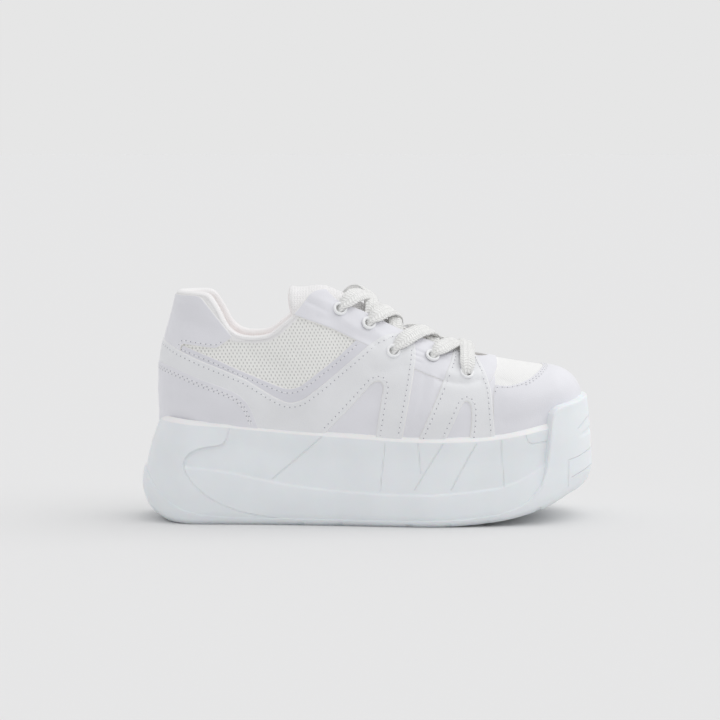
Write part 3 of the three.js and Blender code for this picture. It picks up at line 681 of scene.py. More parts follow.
def build_mesh(name: str, points: Points, faces: list[list[int]], uv: Points | None = None,
               extras: dict[str, Points] | None = None, jump: float = 0.0) -> "bpy.types.Object":
    """Makes a smooth-shaded piece.

    Args:
        name: Name of the piece.
        points: Its corners in the shoe's own frame, in mm.
        faces: Its faces.
        uv: Lengths along its surface in mm, by corner.
        extras: Named numbers by corner, for its material.
        jump: Where the lengths round the shoe start again from 0.

    Returns:
        The piece, placed in the scene.
    """
    mesh = bpy.data.meshes.new(name)
    mesh.from_pydata(to_metres(points).tolist(), [], faces)
    if uv is not None:
        corner = np.empty(len(mesh.loops), dtype=np.int32)
        mesh.loops.foreach_get("vertex_index", corner)
        values = uv[corner].copy()
        if jump:
            starts = np.empty(len(mesh.polygons), dtype=np.int32)
            totals = np.empty(len(mesh.polygons), dtype=np.int32)
            mesh.polygons.foreach_get("loop_start", starts)
            mesh.polygons.foreach_get("loop_total", totals)
            values[:, 0] = mend_lengths(values[:, 0], starts, totals, jump)
        layer = mesh.uv_layers.new(name="lengths")
        layer.data.foreach_set("uv", (values / 1000.0).astype(np.float32).reshape(-1))
    for key, numbers in (extras or {}).items():
        attribute = mesh.attributes.new(key, "FLOAT", "POINT")
        attribute.data.foreach_set("value", np.asarray(numbers, dtype=np.float32))
    mesh.validate()
    mesh.polygons.foreach_set("use_smooth", [True] * len(mesh.polygons))
    mesh.update()
    piece = bpy.data.objects.new(name, mesh)
    bpy.context.scene.collection.objects.link(piece)
    return piece


def join_parts(parts: list[tuple[Points, list[list[int]]]]) -> tuple[Points, list[list[int]]]:
    """Puts several lists of corners and faces into one."""
    points, faces, start = [], [], 0
    for corners, sides in parts:
        points.append(corners)
        faces += [[v + start for v in face] for face in sides]
        start += len(corners)
    return np.concatenate(points), faces


def tube(line: Points, broad: Points, deep: Points, section: Points, closed: bool,
         capped: bool = False) -> tuple[Points, list[list[int]], Points]:
    """Sweeps a section along a line.

    Args:
        line: Places along it.
        broad: Direction of the section's first axis at each.
        deep: Direction of its second axis at each.
        section: Corners of the section in mm, by 2 or, where it changes, by place, corner and 2.
        closed: Whether the line closes on itself.
        capped: Whether its ends are closed by a face.

    Returns:
        Corners, faces, and lengths along and round it.
    """
    if section.ndim == 2:
        section = np.repeat(section[None], len(line), axis=0)
    count, around = len(line), section.shape[1]
    points = line[:, None] + broad[:, None] * section[..., :1] + deep[:, None] * section[..., 1:2]
    faces = []
    for k in range(count if closed else count - 1):
        after = (k + 1) % count
        for i in range(around):
            j = (i + 1) % around
            faces.append([k * around + i, k * around + j, after * around + j, after * around + i])
    if capped:
        faces.append(list(range(around - 1, -1, -1)))
        faces.append([(count - 1) * around + i for i in range(around)])
    run = np.concatenate([[0], np.cumsum(np.linalg.norm(np.diff(line, axis=0), axis=-1))])
    span = np.linalg.norm(np.diff(section[0], axis=0, append=section[0][:1]), axis=-1)
    round_it = np.concatenate([[0], np.cumsum(span)[:-1]])
    uv = np.stack(np.broadcast_arrays(run[:, None], round_it[None]), axis=-1)
    return points.reshape(-1, 3), faces, uv.reshape(-1, 2)


def resample(line: Points, step: float, closed: bool = False) -> Points:
    """Spaces a line's rows evenly.

    Args:
        line: Rows whose first three numbers are places.
        step: Wanted spacing in mm.
        closed: Whether the line closes on itself.

    Returns:
        The rows, evenly spaced.
    """
    rows = np.concatenate([line, line[:1]]) if closed else line
    run = np.concatenate([[0], np.cumsum(np.linalg.norm(np.diff(rows[:, :3], axis=0), axis=-1))])
    count = max(int(round(run[-1] / step)), 2)
    at = np.linspace(0, run[-1], count + 1)[: count if closed else count + 1]
    return np.stack([np.interp(at, run, rows[:, i]) for i in range(rows.shape[1])], axis=-1)

Colour = tuple[float, float, float]


def linear(red: float, green: float, blue: float) -> Colour:
    """Turns a colour as seen on a screen, from 0 to 255, into a linear one."""
    shares = (channel / 255 for channel in (red, green, blue))
    return tuple(c / 12.92 if c <= 0.04045 else ((c + 0.055) / 1.055) ** 2.4 for c in shares)


class Nodes:
    """Adds nodes to a shader tree and joins them."""

    def __init__(self, tree: "bpy.types.NodeTree") -> None:
        """Keeps the tree."""
        self.tree = tree

    def add(self, kind: str, inputs: dict | None = None, **settings: object) -> "bpy.types.Node":
        """Adds a node.

        Args:
            kind: Type of the node.
            inputs: What goes into its sockets: another node's socket, or a plain value.
            settings: Its own settings.

        Returns:
            The node.
        """
        node = self.tree.nodes.new(kind)
        for key, value in settings.items():
            setattr(node, key, value)
        for key, value in (inputs or {}).items():
            socket = node.inputs[key]
            if isinstance(value, bpy.types.NodeSocket):
                self.tree.links.new(value, socket)
            else:
                socket.default_value = value
        return node

    def math(self, operation: str, *values: object) -> "bpy.types.NodeSocket":
        """Adds a sum and gives its result."""
        return self.add("ShaderNodeMath", dict(enumerate(values)), operation=operation).outputs[0]

    def ramp(self, value: object, low: float, high: float, start: float = 0.0, end: float = 1.0) -> object:
        """Maps a value smoothly from one range to another.

        Args:
            value: The value's socket.
            low: Where the range starts.
            high: Where it ends.
            start: What it gives at the start.
            end: What it gives at the end.

        Returns:
            The socket of the mapped value.
        """
        inputs = {"Value": value, "From Min": low, "From Max": high, "To Min": start, "To Max": end}
        node = self.add("ShaderNodeMapRange", inputs, interpolation_type="SMOOTHSTEP")
        return node.outputs["Result"]

    def blend(self, share: object, a: object, b: object) -> "bpy.types.NodeSocket":
        """Mixes two colours by a share."""
        node = self.add("ShaderNodeMix", data_type="RGBA")
        for index, value in ((0, share), (6, a), (7, b)):
            if isinstance(value, bpy.types.NodeSocket):
                self.tree.links.new(value, node.inputs[index])
            else:
                node.inputs[index].default_value = (*value, 1.0) if isinstance(value, tuple) else value
        return node.outputs[2]


class Effects:
    """The shader node groups that several finishes use."""

    def __init__(self) -> None:
        """Builds each group once."""
        self.grain = self._grain()
        self.holes = self._holes()
        self.weave = self._weave()

    @staticmethod
    def _group(name: str, inputs: dict[str, float],
               outputs: tuple[str, ...]) -> tuple[object, Nodes, object, object]:
        """Starts a group.

        Args:
            name: Name of the group.
            inputs: Its number inputs with their usual values; "Place" is a vector.
            outputs: Its number outputs.

        Returns:
            The group, its nodes, and its input and output nodes.
        """
        tree = bpy.data.node_groups.new(name, "ShaderNodeTree")
        tree.interface.new_socket("Place", in_out="INPUT", socket_type="NodeSocketVector")
        for key, value in inputs.items():
            tree.interface.new_socket(key, in_out="INPUT", socket_type="NodeSocketFloat").default_value = value
        for key in outputs:
            tree.interface.new_socket(key, in_out="OUTPUT", socket_type="NodeSocketFloat")
        nodes = Nodes(tree)
        return tree, nodes, nodes.add("NodeGroupInput"), nodes.add("NodeGroupOutput")

    def _grain(self) -> object:
        """Builds the fine pebbled grain of leather and moulded foam, with slow changes of tone."""
        tree, nodes, entry, leave = self._group(
            "fine_grain", {"Scale": 1500.0, "Softness": 0.5}, ("Height", "Tone")
        )
        cells = nodes.add(
            "ShaderNodeTexVoronoi", {"Vector": entry.outputs["Place"], "Scale": entry.outputs["Scale"]},
            feature="SMOOTH_F1",
        )
        tree.links.new(entry.outputs["Softness"], cells.inputs["Smoothness"])
        speckle = nodes.add(
            "ShaderNodeTexNoise",
            {"Vector": entry.outputs["Place"], "Scale": entry.outputs["Scale"], "Detail": 3.0},
        )
        tone = nodes.add("ShaderNodeTexNoise", {"Vector": entry.outputs["Place"], "Scale": 28.0, "Detail": 4.0})
        height = nodes.math("MULTIPLY_ADD", cells.outputs["Distance"], 0.7, speckle.outputs["Fac"])
        tree.links.new(height, leave.inputs["Height"])
        tree.links.new(tone.outputs["Fac"], leave.inputs["Tone"])
        return tree

    def _holes(self) -> object:
        """Builds the staggered round holes of an open mesh, and the yarns round them."""
        tree, nodes, entry, leave = self._group(
            "mesh_holes", {"Pitch": 0.0026, "Hole": 0.3, "Soft": 0.12}, ("Hole", "Height")
        )
        share = nodes.math("DIVIDE", 1.0, entry.outputs["Pitch"])
        leaned = nodes.add(
            "ShaderNodeVectorRotate", {"Vector": entry.outputs["Place"], "Angle": math.radians(-6)},
            rotation_type="Z_AXIS",
        )
        split = nodes.add("ShaderNodeSeparateXYZ", {0: leaned.outputs[0]})
        tall = nodes.math("MULTIPLY", split.outputs[1], 0.607)
        square = nodes.add("ShaderNodeCombineXYZ", {0: split.outputs[0], 1: tall})
        turned = nodes.add(
            "ShaderNodeVectorRotate", {"Vector": square.outputs[0], "Angle": math.radians(45)},
            rotation_type="Z_AXIS",
        )
        cells = nodes.add(
            "ShaderNodeTexVoronoi", {"Vector": turned.outputs[0], "Scale": share, "Randomness": 0.08},
            voronoi_dimensions="2D",
        )
        far = nodes.math("ADD", entry.outputs["Hole"], entry.outputs["Soft"])
        hole = nodes.add(
            "ShaderNodeMapRange",
            {"Value": cells.outputs["Distance"], "From Min": entry.outputs["Hole"], "From Max": far,
             "To Min": 1.0, "To Max": 0.0},
            interpolation_type="SMOOTHSTEP",
        )
        yarn = nodes.add(
            "ShaderNodeTexNoise", {"Vector": entry.outputs["Place"], "Scale": 2600.0, "Detail": 2.0}
        )
        solid = nodes.math("SUBTRACT", 1.0, hole.outputs[0])
        height = nodes.math("MULTIPLY_ADD", yarn.outputs["Fac"], 0.25, solid)
        tree.links.new(hole.outputs[0], leave.inputs["Hole"])
        tree.links.new(height, leave.inputs["Height"])
        return tree

    def _weave(self) -> object:
        """Builds the raised slanting yarns of a flat braid or a rib knit."""
        tree, nodes, entry, leave = self._group(
            "yarn_weave", {"Pitch": 0.0013, "Across": 0.0011, "Slant": 1.0}, ("Height", "Gap")
        )
        split = nodes.add("ShaderNodeSeparateXYZ", {0: entry.outputs["Place"]})
        along = nodes.math("DIVIDE", split.outputs[0], entry.outputs["Pitch"])
        across = nodes.math("DIVIDE", split.outputs[1], entry.outputs["Across"])
        zigzag = nodes.math("MULTIPLY", nodes.math("PINGPONG", across, 1.0), entry.outputs["Slant"])
        phase = nodes.math("MULTIPLY", nodes.math("ADD", along, zigzag), 2 * math.pi)
        ridge = nodes.math("ABSOLUTE", nodes.math("SINE", nodes.math("MULTIPLY", phase, 0.5)))
        fold = nodes.math("ABSOLUTE", nodes.math("SINE", nodes.math("MULTIPLY", across, math.pi)))
        height = nodes.math("MULTIPLY", nodes.math("POWER", ridge, 0.6), nodes.math("POWER", fold, 0.4))
        fuzz = nodes.add("ShaderNodeTexNoise", {"Vector": entry.outputs["Place"], "Scale": 2200.0, "Detail": 3.0})
        whole = nodes.math("MULTIPLY_ADD", fuzz.outputs["Fac"], 0.45, height)
        tree.links.new(whole, leave.inputs["Height"])
        tree.links.new(nodes.ramp(height, 0.05, 0.55, 1.0, 0.0), leave.inputs["Gap"])
        return tree


@dataclass(frozen=True)
class Finish:
    """What every finish has: a name, a slot name for the record (kept, not used here), a colour and a gloss."""

    name: str
    slot: str
    colour: Colour
    roughness: float = 0.5
    sheen: float = 0.0
    soft_light: float = 0.0
    # Emission in the finish's own colour: painted light, which the lining uses to brighten its shaded inside.
    glow: float = 0.0

    def start(self) -> tuple["bpy.types.Material", Nodes, "bpy.types.Node"]:
        """Starts the material.

        Returns:
            The material, its nodes and its main shader.
        """
        material = bpy.data.materials.new(self.name)
        material.use_nodes = True
        shader = material.node_tree.nodes["Principled BSDF"]
        shader.inputs["Base Color"].default_value = (*self.colour, 1.0)
        shader.inputs["Roughness"].default_value = self.roughness
        shader.inputs["Sheen Weight"].default_value = self.sheen
        shader.inputs["Subsurface Weight"].default_value = self.soft_light
        shader.inputs["Subsurface Scale"].default_value = 0.002
        # Painted light: a glow in the finish's own colour, where a finish has one.
        shader.inputs["Emission Color"].default_value = (*self.colour, 1.0)
        shader.inputs["Emission Strength"].default_value = self.glow
        return material, Nodes(material.node_tree), shader

    def shade(self, share: float) -> Colour:
        """The colour made darker or lighter by a share."""
        return tuple(min(c * share, 1.0) for c in self.colour)

    @staticmethod
    def use(nodes: Nodes, group: object, inputs: dict) -> "bpy.types.Node":
        """Places one of the shared groups."""
        node = nodes.add("ShaderNodeGroup", node_tree=group)
        for key, value in inputs.items():
            if isinstance(value, bpy.types.NodeSocket):
                nodes.tree.links.new(value, node.inputs[key])
            else:
                node.inputs[key].default_value = value
        return node

    @staticmethod
    def bump(nodes: Nodes, shader: "bpy.types.Node", height: object, depth: float, strength: float = 1.0) -> None:
        """Raises the surface by a height of some depth in metres."""
        bump = nodes.add("ShaderNodeBump", {"Height": height, "Distance": depth, "Strength": strength})
        nodes.tree.links.new(bump.outputs["Normal"], shader.inputs["Normal"])


@dataclass(frozen=True)
class LeatherFinish(Finish):
    """Smooth coated leather with a fine grain and a cut edge, painted pale cream: an edge paint and a painted
    highlight.
    """

    grain: float = 0.00006
    grain_scale: float = 1500.0
    edge_colour: Colour = (0.94, 0.93, 0.89)

    def build(self, effects: Effects) -> "bpy.types.Material":
        """Builds the material."""
        material, nodes, shader = self.start()
        place = nodes.add("ShaderNodeTexCoord").outputs["Object"]
        grain = self.use(nodes, effects.grain, {"Place": place, "Scale": self.grain_scale, "Softness": 0.6})
        toned = nodes.blend(nodes.ramp(grain.outputs["Tone"], 0.3, 0.7), self.shade(0.965), self.shade(1.02))
        inside = nodes.add("ShaderNodeAttribute", attribute_name="inside").outputs["Fac"]
        # The cut edge is painted a pale cream: partly edge paint, partly a painted highlight along the rolled
        # edge.
        edge = nodes.ramp(inside, 0.05, 0.55, 0.75, 0.0)
        nodes.tree.links.new(nodes.blend(edge, toned, self.edge_colour), shader.inputs["Base Color"])
        gloss = nodes.ramp(grain.outputs["Tone"], 0.25, 0.75, self.roughness - 0.05, self.roughness + 0.06)
        nodes.tree.links.new(gloss, shader.inputs["Roughness"])
        self.bump(nodes, shader, grain.outputs["Height"], self.grain)
        return material


@dataclass(frozen=True)
class FoamFinish(Finish):
    """Moulded sole plastic: a satin skin and fine pits, with the carved lines that a piece marks, bumped in and
    painted darker as painted shade, and the lip, painted paler as a painted highlight and a whiter buffed edge.
    """

    line_depth: float = 0.0003
    # Paler, neutral colour of the lip: a painted highlight for the light on its rounding, with a whiter buffed
    # edge.
    lip_colour: Colour = linear(252, 252, 252)

    def build(self, effects: Effects) -> "bpy.types.Material":
        """Builds the material."""
        material, nodes, shader = self.start()
        place = nodes.add("ShaderNodeTexCoord").outputs["Object"]
        grain = self.use(nodes, effects.grain, {"Place": place, "Scale": 2400.0, "Softness": 0.8})
        toned = nodes.blend(nodes.ramp(grain.outputs["Tone"], 0.3, 0.7), self.shade(0.975), self.shade(1.015))
        carve = nodes.add("ShaderNodeAttribute", attribute_name="carve").outputs["Fac"]
        # Along the carved lines the colour is painted darker, painted shade in the grooves; the same mask bumps
        # the groove in.
        line = nodes.ramp(carve, 0.1, 0.7, 1.0, 0.0)
        lip = nodes.add("ShaderNodeAttribute", attribute_name="lip").outputs["Fac"]
        # Painted highlight: the lip's rows are painted paler and more neutral, for the light its upturned rounding
        # catches, with some whiter tone of a buffed edge.
        toned = nodes.blend(lip, toned, self.lip_colour)
        nodes.tree.links.new(nodes.blend(line, toned, self.shade(0.94)), shader.inputs["Base Color"])
        gloss = nodes.ramp(grain.outputs["Tone"], 0.25, 0.75, self.roughness - 0.04, self.roughness + 0.05)
        nodes.tree.links.new(gloss, shader.inputs["Roughness"])
        pits = nodes.math("MULTIPLY", grain.outputs["Height"], 0.04)
        self.bump(nodes, shader, nodes.math("SUBTRACT", pits, line), self.line_depth)
        return material


@dataclass(frozen=True)
class MeshFinish(Finish):
    """Open mesh textile: yarns round staggered holes."""

    pitch: float = 0.0017
    hole: float = 0.17
    hole_shade: float = 0.74
    depth: float = 0.0003

    def build(self, effects: Effects) -> "bpy.types.Material":
        """Builds the material."""
        material, nodes, shader = self.start()
        place = nodes.add("ShaderNodeUVMap", uv_map="lengths").outputs["UV"]
        mesh = self.use(nodes, effects.holes, {"Place": place, "Pitch": self.pitch, "Hole": self.hole})
        # The holes are painted darker: painted shade for the hollow seen through each hole.
        colour = nodes.blend(mesh.outputs["Hole"], self.colour, self.shade(self.hole_shade))
        nodes.tree.links.new(colour, shader.inputs["Base Color"])
        nodes.tree.links.new(
            nodes.ramp(mesh.outputs["Hole"], 0.0, 1.0, self.roughness, 1.0), shader.inputs["Roughness"]
        )
        self.bump(nodes, shader, mesh.outputs["Height"], self.depth)
        return material


@dataclass(frozen=True)
class WeaveFinish(Finish):
    """Braided or knitted yarn, as on the lace, the tongue and the collar's roll."""

    pitch: float = 0.0013
    across: float = 0.0011
    slant: float = 1.0
    depth: float = 0.0004
    gap_shade: float = 0.78

    def build(self, effects: Effects) -> "bpy.types.Material":
        """Builds the material."""
        material, nodes, shader = self.start()
        place = nodes.add("ShaderNodeUVMap", uv_map="lengths").outputs["UV"]
        inputs = {"Place": place, "Pitch": self.pitch, "Across": self.across, "Slant": self.slant}
        weave = self.use(nodes, effects.weave, inputs)
        # The gaps between the yarns are painted darker: painted shade between them.
        colour = nodes.blend(weave.outputs["Gap"], self.colour, self.shade(self.gap_shade))
        nodes.tree.links.new(colour, shader.inputs["Base Color"])
        nodes.tree.links.new(
            nodes.ramp(weave.outputs["Gap"], 0.0, 1.0, self.roughness, 1.0), shader.inputs["Roughness"]
        )
        self.bump(nodes, shader, weave.outputs["Height"], self.depth)
        return material


@dataclass(frozen=True)
class PlainFinish(Finish):
    """Enamelled metal, sewing thread, and the dark discs of painted shade at the needle holes: a plain surface
    with a faint unevenness.
    """

    bump_depth: float = 0.00003

    def build(self, effects: Effects) -> "bpy.types.Material":
        """Builds the material."""
        material, nodes, shader = self.start()
        place = nodes.add("ShaderNodeTexCoord").outputs["Object"]
        grain = self.use(nodes, effects.grain, {"Place": place, "Scale": 3000.0, "Softness": 0.5})
        toned = nodes.blend(grain.outputs["Tone"], self.shade(0.96), self.shade(1.03))
        nodes.tree.links.new(toned, shader.inputs["Base Color"])
        self.bump(nodes, shader, grain.outputs["Height"], self.bump_depth)
        return material


class Palette:
    """Every material of the shoe."""

    def __init__(self) -> None:
        """Builds the materials from their finishes."""
        effects = Effects()
        finishes = {
            "foam": FoamFinish("sole_foam", "sole_foam", linear(242, 246, 249), 0.42, soft_light=0.1),
            "pale": LeatherFinish("pale_leather", "smooth_leather", linear(236, 236, 241), 0.4),
            "trim": LeatherFinish("trim_leather", "smooth_leather", linear(229, 229, 235), 0.4),
            "strap": LeatherFinish("strap_leather", "strap_leather", linear(240, 241, 243), 0.45, grain=0.00009),
            "mesh": MeshFinish("open_mesh", "mesh", linear(250, 250, 247), 0.85, 0.2),
            "toe_mesh": MeshFinish(
                "fine_mesh", "mesh", linear(249, 249, 248), 0.85, 0.2, pitch=0.0009, hole=0.12,
                hole_shade=0.86, depth=0.0001,
            ),
            "tongue": WeaveFinish(
                "tongue_knit", "mesh", linear(252, 251, 251), 0.9, 0.3, pitch=0.0018, across=0.0016,
                slant=0.5, depth=0.00025, gap_shade=0.92,
            ),
            # The lining glows a little: painted light that brightens the shaded inside of the shoe.
            "lining": MeshFinish(
                "lining_knit", "lining", linear(251, 247, 246), 0.95, 0.3, pitch=0.0011, hole=0.1,
                hole_shade=0.9, depth=0.00012, glow=0.16,
            ),
            "binding": WeaveFinish(
                "binding_knit", "lining", linear(250, 249, 249), 0.85, 0.3, pitch=0.0011, across=0.0015,
                slant=0.2, depth=0.00015, gap_shade=0.92,
            ),
            "lace": WeaveFinish(
                "lace_cotton", "lace", linear(253, 253, 251), 0.95, 0.4, pitch=0.0019, across=0.0017,
                slant=0.7, depth=0.00045, gap_shade=0.93,
            ),
            "eyelet": PlainFinish("eyelet_enamel", "eyelet", linear(248, 249, 250), 0.35),
            "thread": PlainFinish("sewing_thread", "smooth_leather", linear(246, 246, 248), 0.8),
            # Dark discs at the needle holes: painted shade for the hollow of each hole.
            "needle_hole_shade": PlainFinish("needle_hole_shade", "smooth_leather", linear(172, 172, 179), 0.9),
        }
        self.finishes = finishes
        self.materials = {key: finish.build(effects) for key, finish in finishes.items()}

    def dress(self, piece: "bpy.types.Object", key: str, replaced: tuple[str, ...] = ()) -> None:
        """Gives a piece its finish, and its place in the model.

        Args:
            piece: The piece.
            key: Name of the finish.
            replaced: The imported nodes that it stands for.
        """
        piece.data.materials.append(self.materials[key])
        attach(piece, "root")
        if replaced:
            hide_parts(*replaced)
        log.info("%s: %d faces, %s", piece.name, len(piece.data.polygons), key)


@dataclass
class Sole:
    """The moulded cup sole: its sunk and carved side, its lip, and the outsole with its bumper and tread."""

    palette: Palette
    panel_depth: float = 1.0
    lobe_depth: float = 0.9
    step: float = 1.1
    lip_rise: float = 3.2
    lip_profile: tuple[tuple[float, float], ...] = (
        (0.15, 0.4), (0.5, 0.9), (1.0, 1.5), (1.5, 2.1), (2.0, 2.65), (2.4, 3.0), (2.75, 3.2), (3.05, 3.1),
        (3.25, 2.6), (3.6, 1.9), (4.3, 1.2),
    )
    bumper_rise: float = 8.0
    bumper_step: float = 1.2
    outsole_step: float = 0.35
    band_skirt: float = 7.5
    tread_depth: float = 2.4
    tread_width: float = 3.0
    heel_frame: tuple[tuple[float, float], ...] = (
        (57.5, 66.0), (56.6, 61.0), (55.0, 54.0), (53.0, 50.4), (49.0, 49.0), (43.4, 48.4), (37.0, 47.0),
        (32.0, 44.5), (29.0, 41.0), (27.9, 37.3),
    )
    lobe_end: tuple[tuple[float, float], ...] = (
        (27.9, 37.3), (29.1, 32.7), (33.9, 25.7), (41.8, 18.5), (51.3, 13.0), (63.0, 8.6), (75.0, 6.0),
        (90.0, 4.0),
    )
    ridge: tuple[tuple[float, float], ...] = (
        (28.1, 36.2), (31.5, 35.0), (43.4, 34.2), (59.2, 31.6), (75.0, 28.2), (90.9, 25.3), (106.7, 23.2),
        (122.5, 21.6), (150.0, 19.9), (182.7, 19.7), (203.6, 21.2), (224.9, 23.9), (239.0, 28.6), (248.0, 33.5),
        (254.0, 38.0),
    )
    split: tuple[tuple[float, float], ...] = (
        (-12.0, 40.0), (-3.0, 38.0), (2.2, 32.7), (7.8, 25.0), (15.5, 17.7), (21.0, 13.2), (27.5, 9.8),
        (39.5, 6.9),
        (51.3, 5.7), (73.0, 5.1), (138.0, 4.5), (167.5, 4.3), (182.7, 4.6), (203.6, 5.6), (225.0, 8.4),
        (236.2, 12.3), (244.6, 18.0), (250.3, 25.3), (253.0, 33.0), (254.5, 41.0), (255.5, 49.0), (256.4, 58.0),
        (257.0, 65.0), (258.0, 69.0), (260.5, 71.9), (264.0, 73.6), (269.0, 74.8), (275.5, 76.2), (281.0, 78.2),
        (296.0, 80.5),
    )
    carved: tuple[tuple[tuple[float, float], ...], ...] = (
        ((114.3, 55.5), (108.0, 50.0), (83.3, 28.8)),
        ((153.4, 52.3), (150.0, 21.8)),
        ((173.8, 52.3), (175.2, 33.9)),
        ((189.3, 51.9), (171.3, 23.2)),
        ((210.1, 51.9), (194.1, 23.2)),
        ((225.6, 53.3), (226.0, 45.0), (227.5, 25.2)),
        ((240.4, 58.2), (241.5, 54.5), (243.0, 51.8), (245.6, 50.7), (255.5, 51.9)),
    )
    ribs: tuple[tuple[tuple[float, float], ...], ...] = (
        ((275.0, 58.7), (281.2, 64.3), (290.0, 67.0)),
        ((268.6, 39.7), (276.0, 41.5), (283.3, 44.6), (292.0, 46.0)),
        ((268.3, 40.0), (268.1, 23.0)),
        ((270.5, 28.5), (283.5, 33.8), (292.0, 35.0)),
    )
    cross_grooves: tuple[float, ...] = (101.0, 125.4, 168.7, 192.4, 216.6, 248.8)

    def build(self) -> None:
        """Builds and dresses the sole."""
        self._midsole()
        self._outsole()

    def _side_depth(self, x: Points, z: Points) -> Points:
        """How far the side is sunk.

        Args:
            x: Places along the shoe.
            z: Heights.

        Returns:
            The depths in mm.
        """
        panel = Outline([*self.heel_frame, *self.ridge, (268.0, 50.0), (268.0, 95.0), (57.5, 95.0)])
        whole = Outline([*self.heel_frame, *self.lobe_end, (90, -20), (268, -20), (268, 95), (57.5, 95)])
        under_lip = smoothstep(SHOE.rim(x) - z, 0.5, 17.0)
        ridge = np.array(self.ridge)
        above_ridge = np.interp(x, ridge[:, 0], ridge[:, 1])
        low = np.interp(x, [p[0] for p in self.split], [p[1] for p in self.split])
        share = np.clip((z - low) / np.maximum(above_ridge - low, 3), 0, 1)
        lobe = self.lobe_depth * mix(0.25, 1.0, share**1.5)
        lobe = lobe * smoothstep(-whole.distance(x, z), 0, self.step)
        return (lobe + self.panel_depth * smoothstep(-panel.distance(x, z), 0, self.step)) * under_lip

    def _midsole(self) -> None:
        """The sole's side and lip, down to the floor inside it."""
        grid = SHOE.wall_grid(rise=-self.lip_rise, columns=370, rows=88)
        x, z = grid.points[..., 0], grid.points[..., 2]
        wall = grid.offset(-self._side_depth(x, z))
        top, out = wall[:, -1], grid.normals[:, -1]
        rows = [wall[:, k] for k in range(wall.shape[1])]
        inner = self.lip_profile[-1][0]
        for inward, rise in (*self.lip_profile, (inner, -3.0), (inner, self.lip_rise - SHOE.cup_depth)):
            rows.append(top - out * inward + np.array([0, 0, rise]))
        points = np.stack(rows, axis=1)
        columns, count = points.shape[:2]
        # Distance to the carved lines, where the foam paints painted shade and bumps a groove.
        carve = np.full((columns, count), 9.0)
        for line in (*self.carved, self.heel_frame, self.lobe_end):
            carve[:, : wall.shape[1]] = np.minimum(carve[:, : wall.shape[1]], to_path(x, z, list(line)))
        # Marks the lip's rows, which the foam paints paler as a painted highlight.
        lip = np.zeros((columns, count))
        lip[:, wall.shape[1] : -2] = 1.0
        marks = {"carve": carve.reshape(-1), "lip": lip.reshape(-1)}
        midsole = build_mesh("midsole_foam", points.reshape(-1, 3), ring_faces(columns, count), None, marks)
        self.palette.dress(midsole, "foam", ("midsole",))

    def _outsole(self) -> None:
        """The outsole's band and bumper, with the tread underneath."""
        grid = SHOE.wall_grid(rise=self.bumper_rise + 9, columns=370, rows=106)
        x, z = grid.points[..., 0], grid.points[..., 2]
        grown = mix(self.outsole_step, self.bumper_step, smoothstep(x, 236, 252))
        rib = mix(54.0, 57.6, np.clip((x - 275) / 10, 0, 1))
        groove = np.exp(-(((z - rib) / mix(0.9, 1.7, np.clip((x - 275) / 10, 0, 1))) ** 2))
        grown = grown - 0.9 * groove * smoothstep(x, 273.5, 279)
        points = grid.offset(grown - self.bumper_step)
        notch = self._notch(x) * (SHOE.ground(x) + self.tread_depth)
        points[..., 2] = np.maximum(points[..., 2], notch)
        proud = Grid(points, grid.uv, normals=grid.normals)
        region = Outline([*self.split, (296, -30), (-12, -30)])
        kept = Trimmed(proud, region.distance(x, z), (0.15, 0.5, 1.1))
        band = kept.sheet("outsole_band", 0.0, self.bumper_step, 1.1, self.band_skirt)
        # Distance to the ribs' lines, where the foam paints painted shade and bumps a groove.
        carve = np.full(len(band.data.vertices), 9.0)
        place = np.array([v.co[:] for v in band.data.vertices]) * 1000 - np.array(FRAME_SHIFT)
        for line in self.ribs:
            carve = np.minimum(carve, to_path(place[:, 0], place[:, 2], list(line)))
        band.data.attributes.new("carve", "FLOAT", "POINT").data.foreach_set("value", carve.astype(np.float32))
        self.palette.dress(band, "foam", ("outsole",))
        self._tread(proud.offset(self.bumper_step)[:, 0])

    def _notch(self, x: Points) -> Points:
        """1 in the grooves that cross the tread and 0 between them."""
        near = np.min([np.abs(x - groove) for groove in self.cross_grooves], axis=0)
        return 1 - smoothstep(near, 0.35 * self.tread_width, 0.6 * self.tread_width)

    def _tread(self, ring: Points) -> None:
        """The sole's underside.

        Args:
            ring: Its edge, round the plan.
        """
        half = len(ring) // 2
        outer, inner = ring[: half + 1], np.concatenate([ring[:1], ring[:half - 1:-1]])
        share = np.linspace(0, 1, 65)[None, :, None]
        points = outer[:, None] * (1 - share) + inner[:, None] * share
        x, y = points[..., 0], points[..., 1]
        inset = np.minimum(share[..., 0], 1 - share[..., 0]) * np.linalg.norm(outer - inner, axis=-1)[:, None]
        inset = np.minimum(inset, np.minimum(x - 8, 279 - x))
        zigzag = np.abs(((x + 3.5 * np.abs(((y / 14) % 2) - 1)) / 8.0) % 1 - 0.5) * 2
        ribs = 1.4 * smoothstep(zigzag, 0.55, 0.75) * smoothstep(inset, 5, 6.5)
        arch = 2.0 * smoothstep(x, 96, 104) * (1 - smoothstep(x, 138, 146)) * smoothstep(inset, 9, 12)
        notch = self.tread_depth * self._notch(x)
        points[..., 2] = np.maximum(SHOE.ground(x) + np.maximum(np.maximum(ribs, arch), notch), 0)
        points[:, 0], points[:, -1] = outer, inner
        columns, rows = points.shape[:2]
        faces = [
            [a * rows + b, a * rows + b + 1, (a + 1) * rows + b + 1, (a + 1) * rows + b]
            for a in range(columns - 1) for b in range(rows - 1)
        ]
        carve = {"carve": np.full(columns * rows, 9.0)}
        self.palette.dress(build_mesh("outsole_tread", points.reshape(-1, 3), faces, None, carve), "foam")


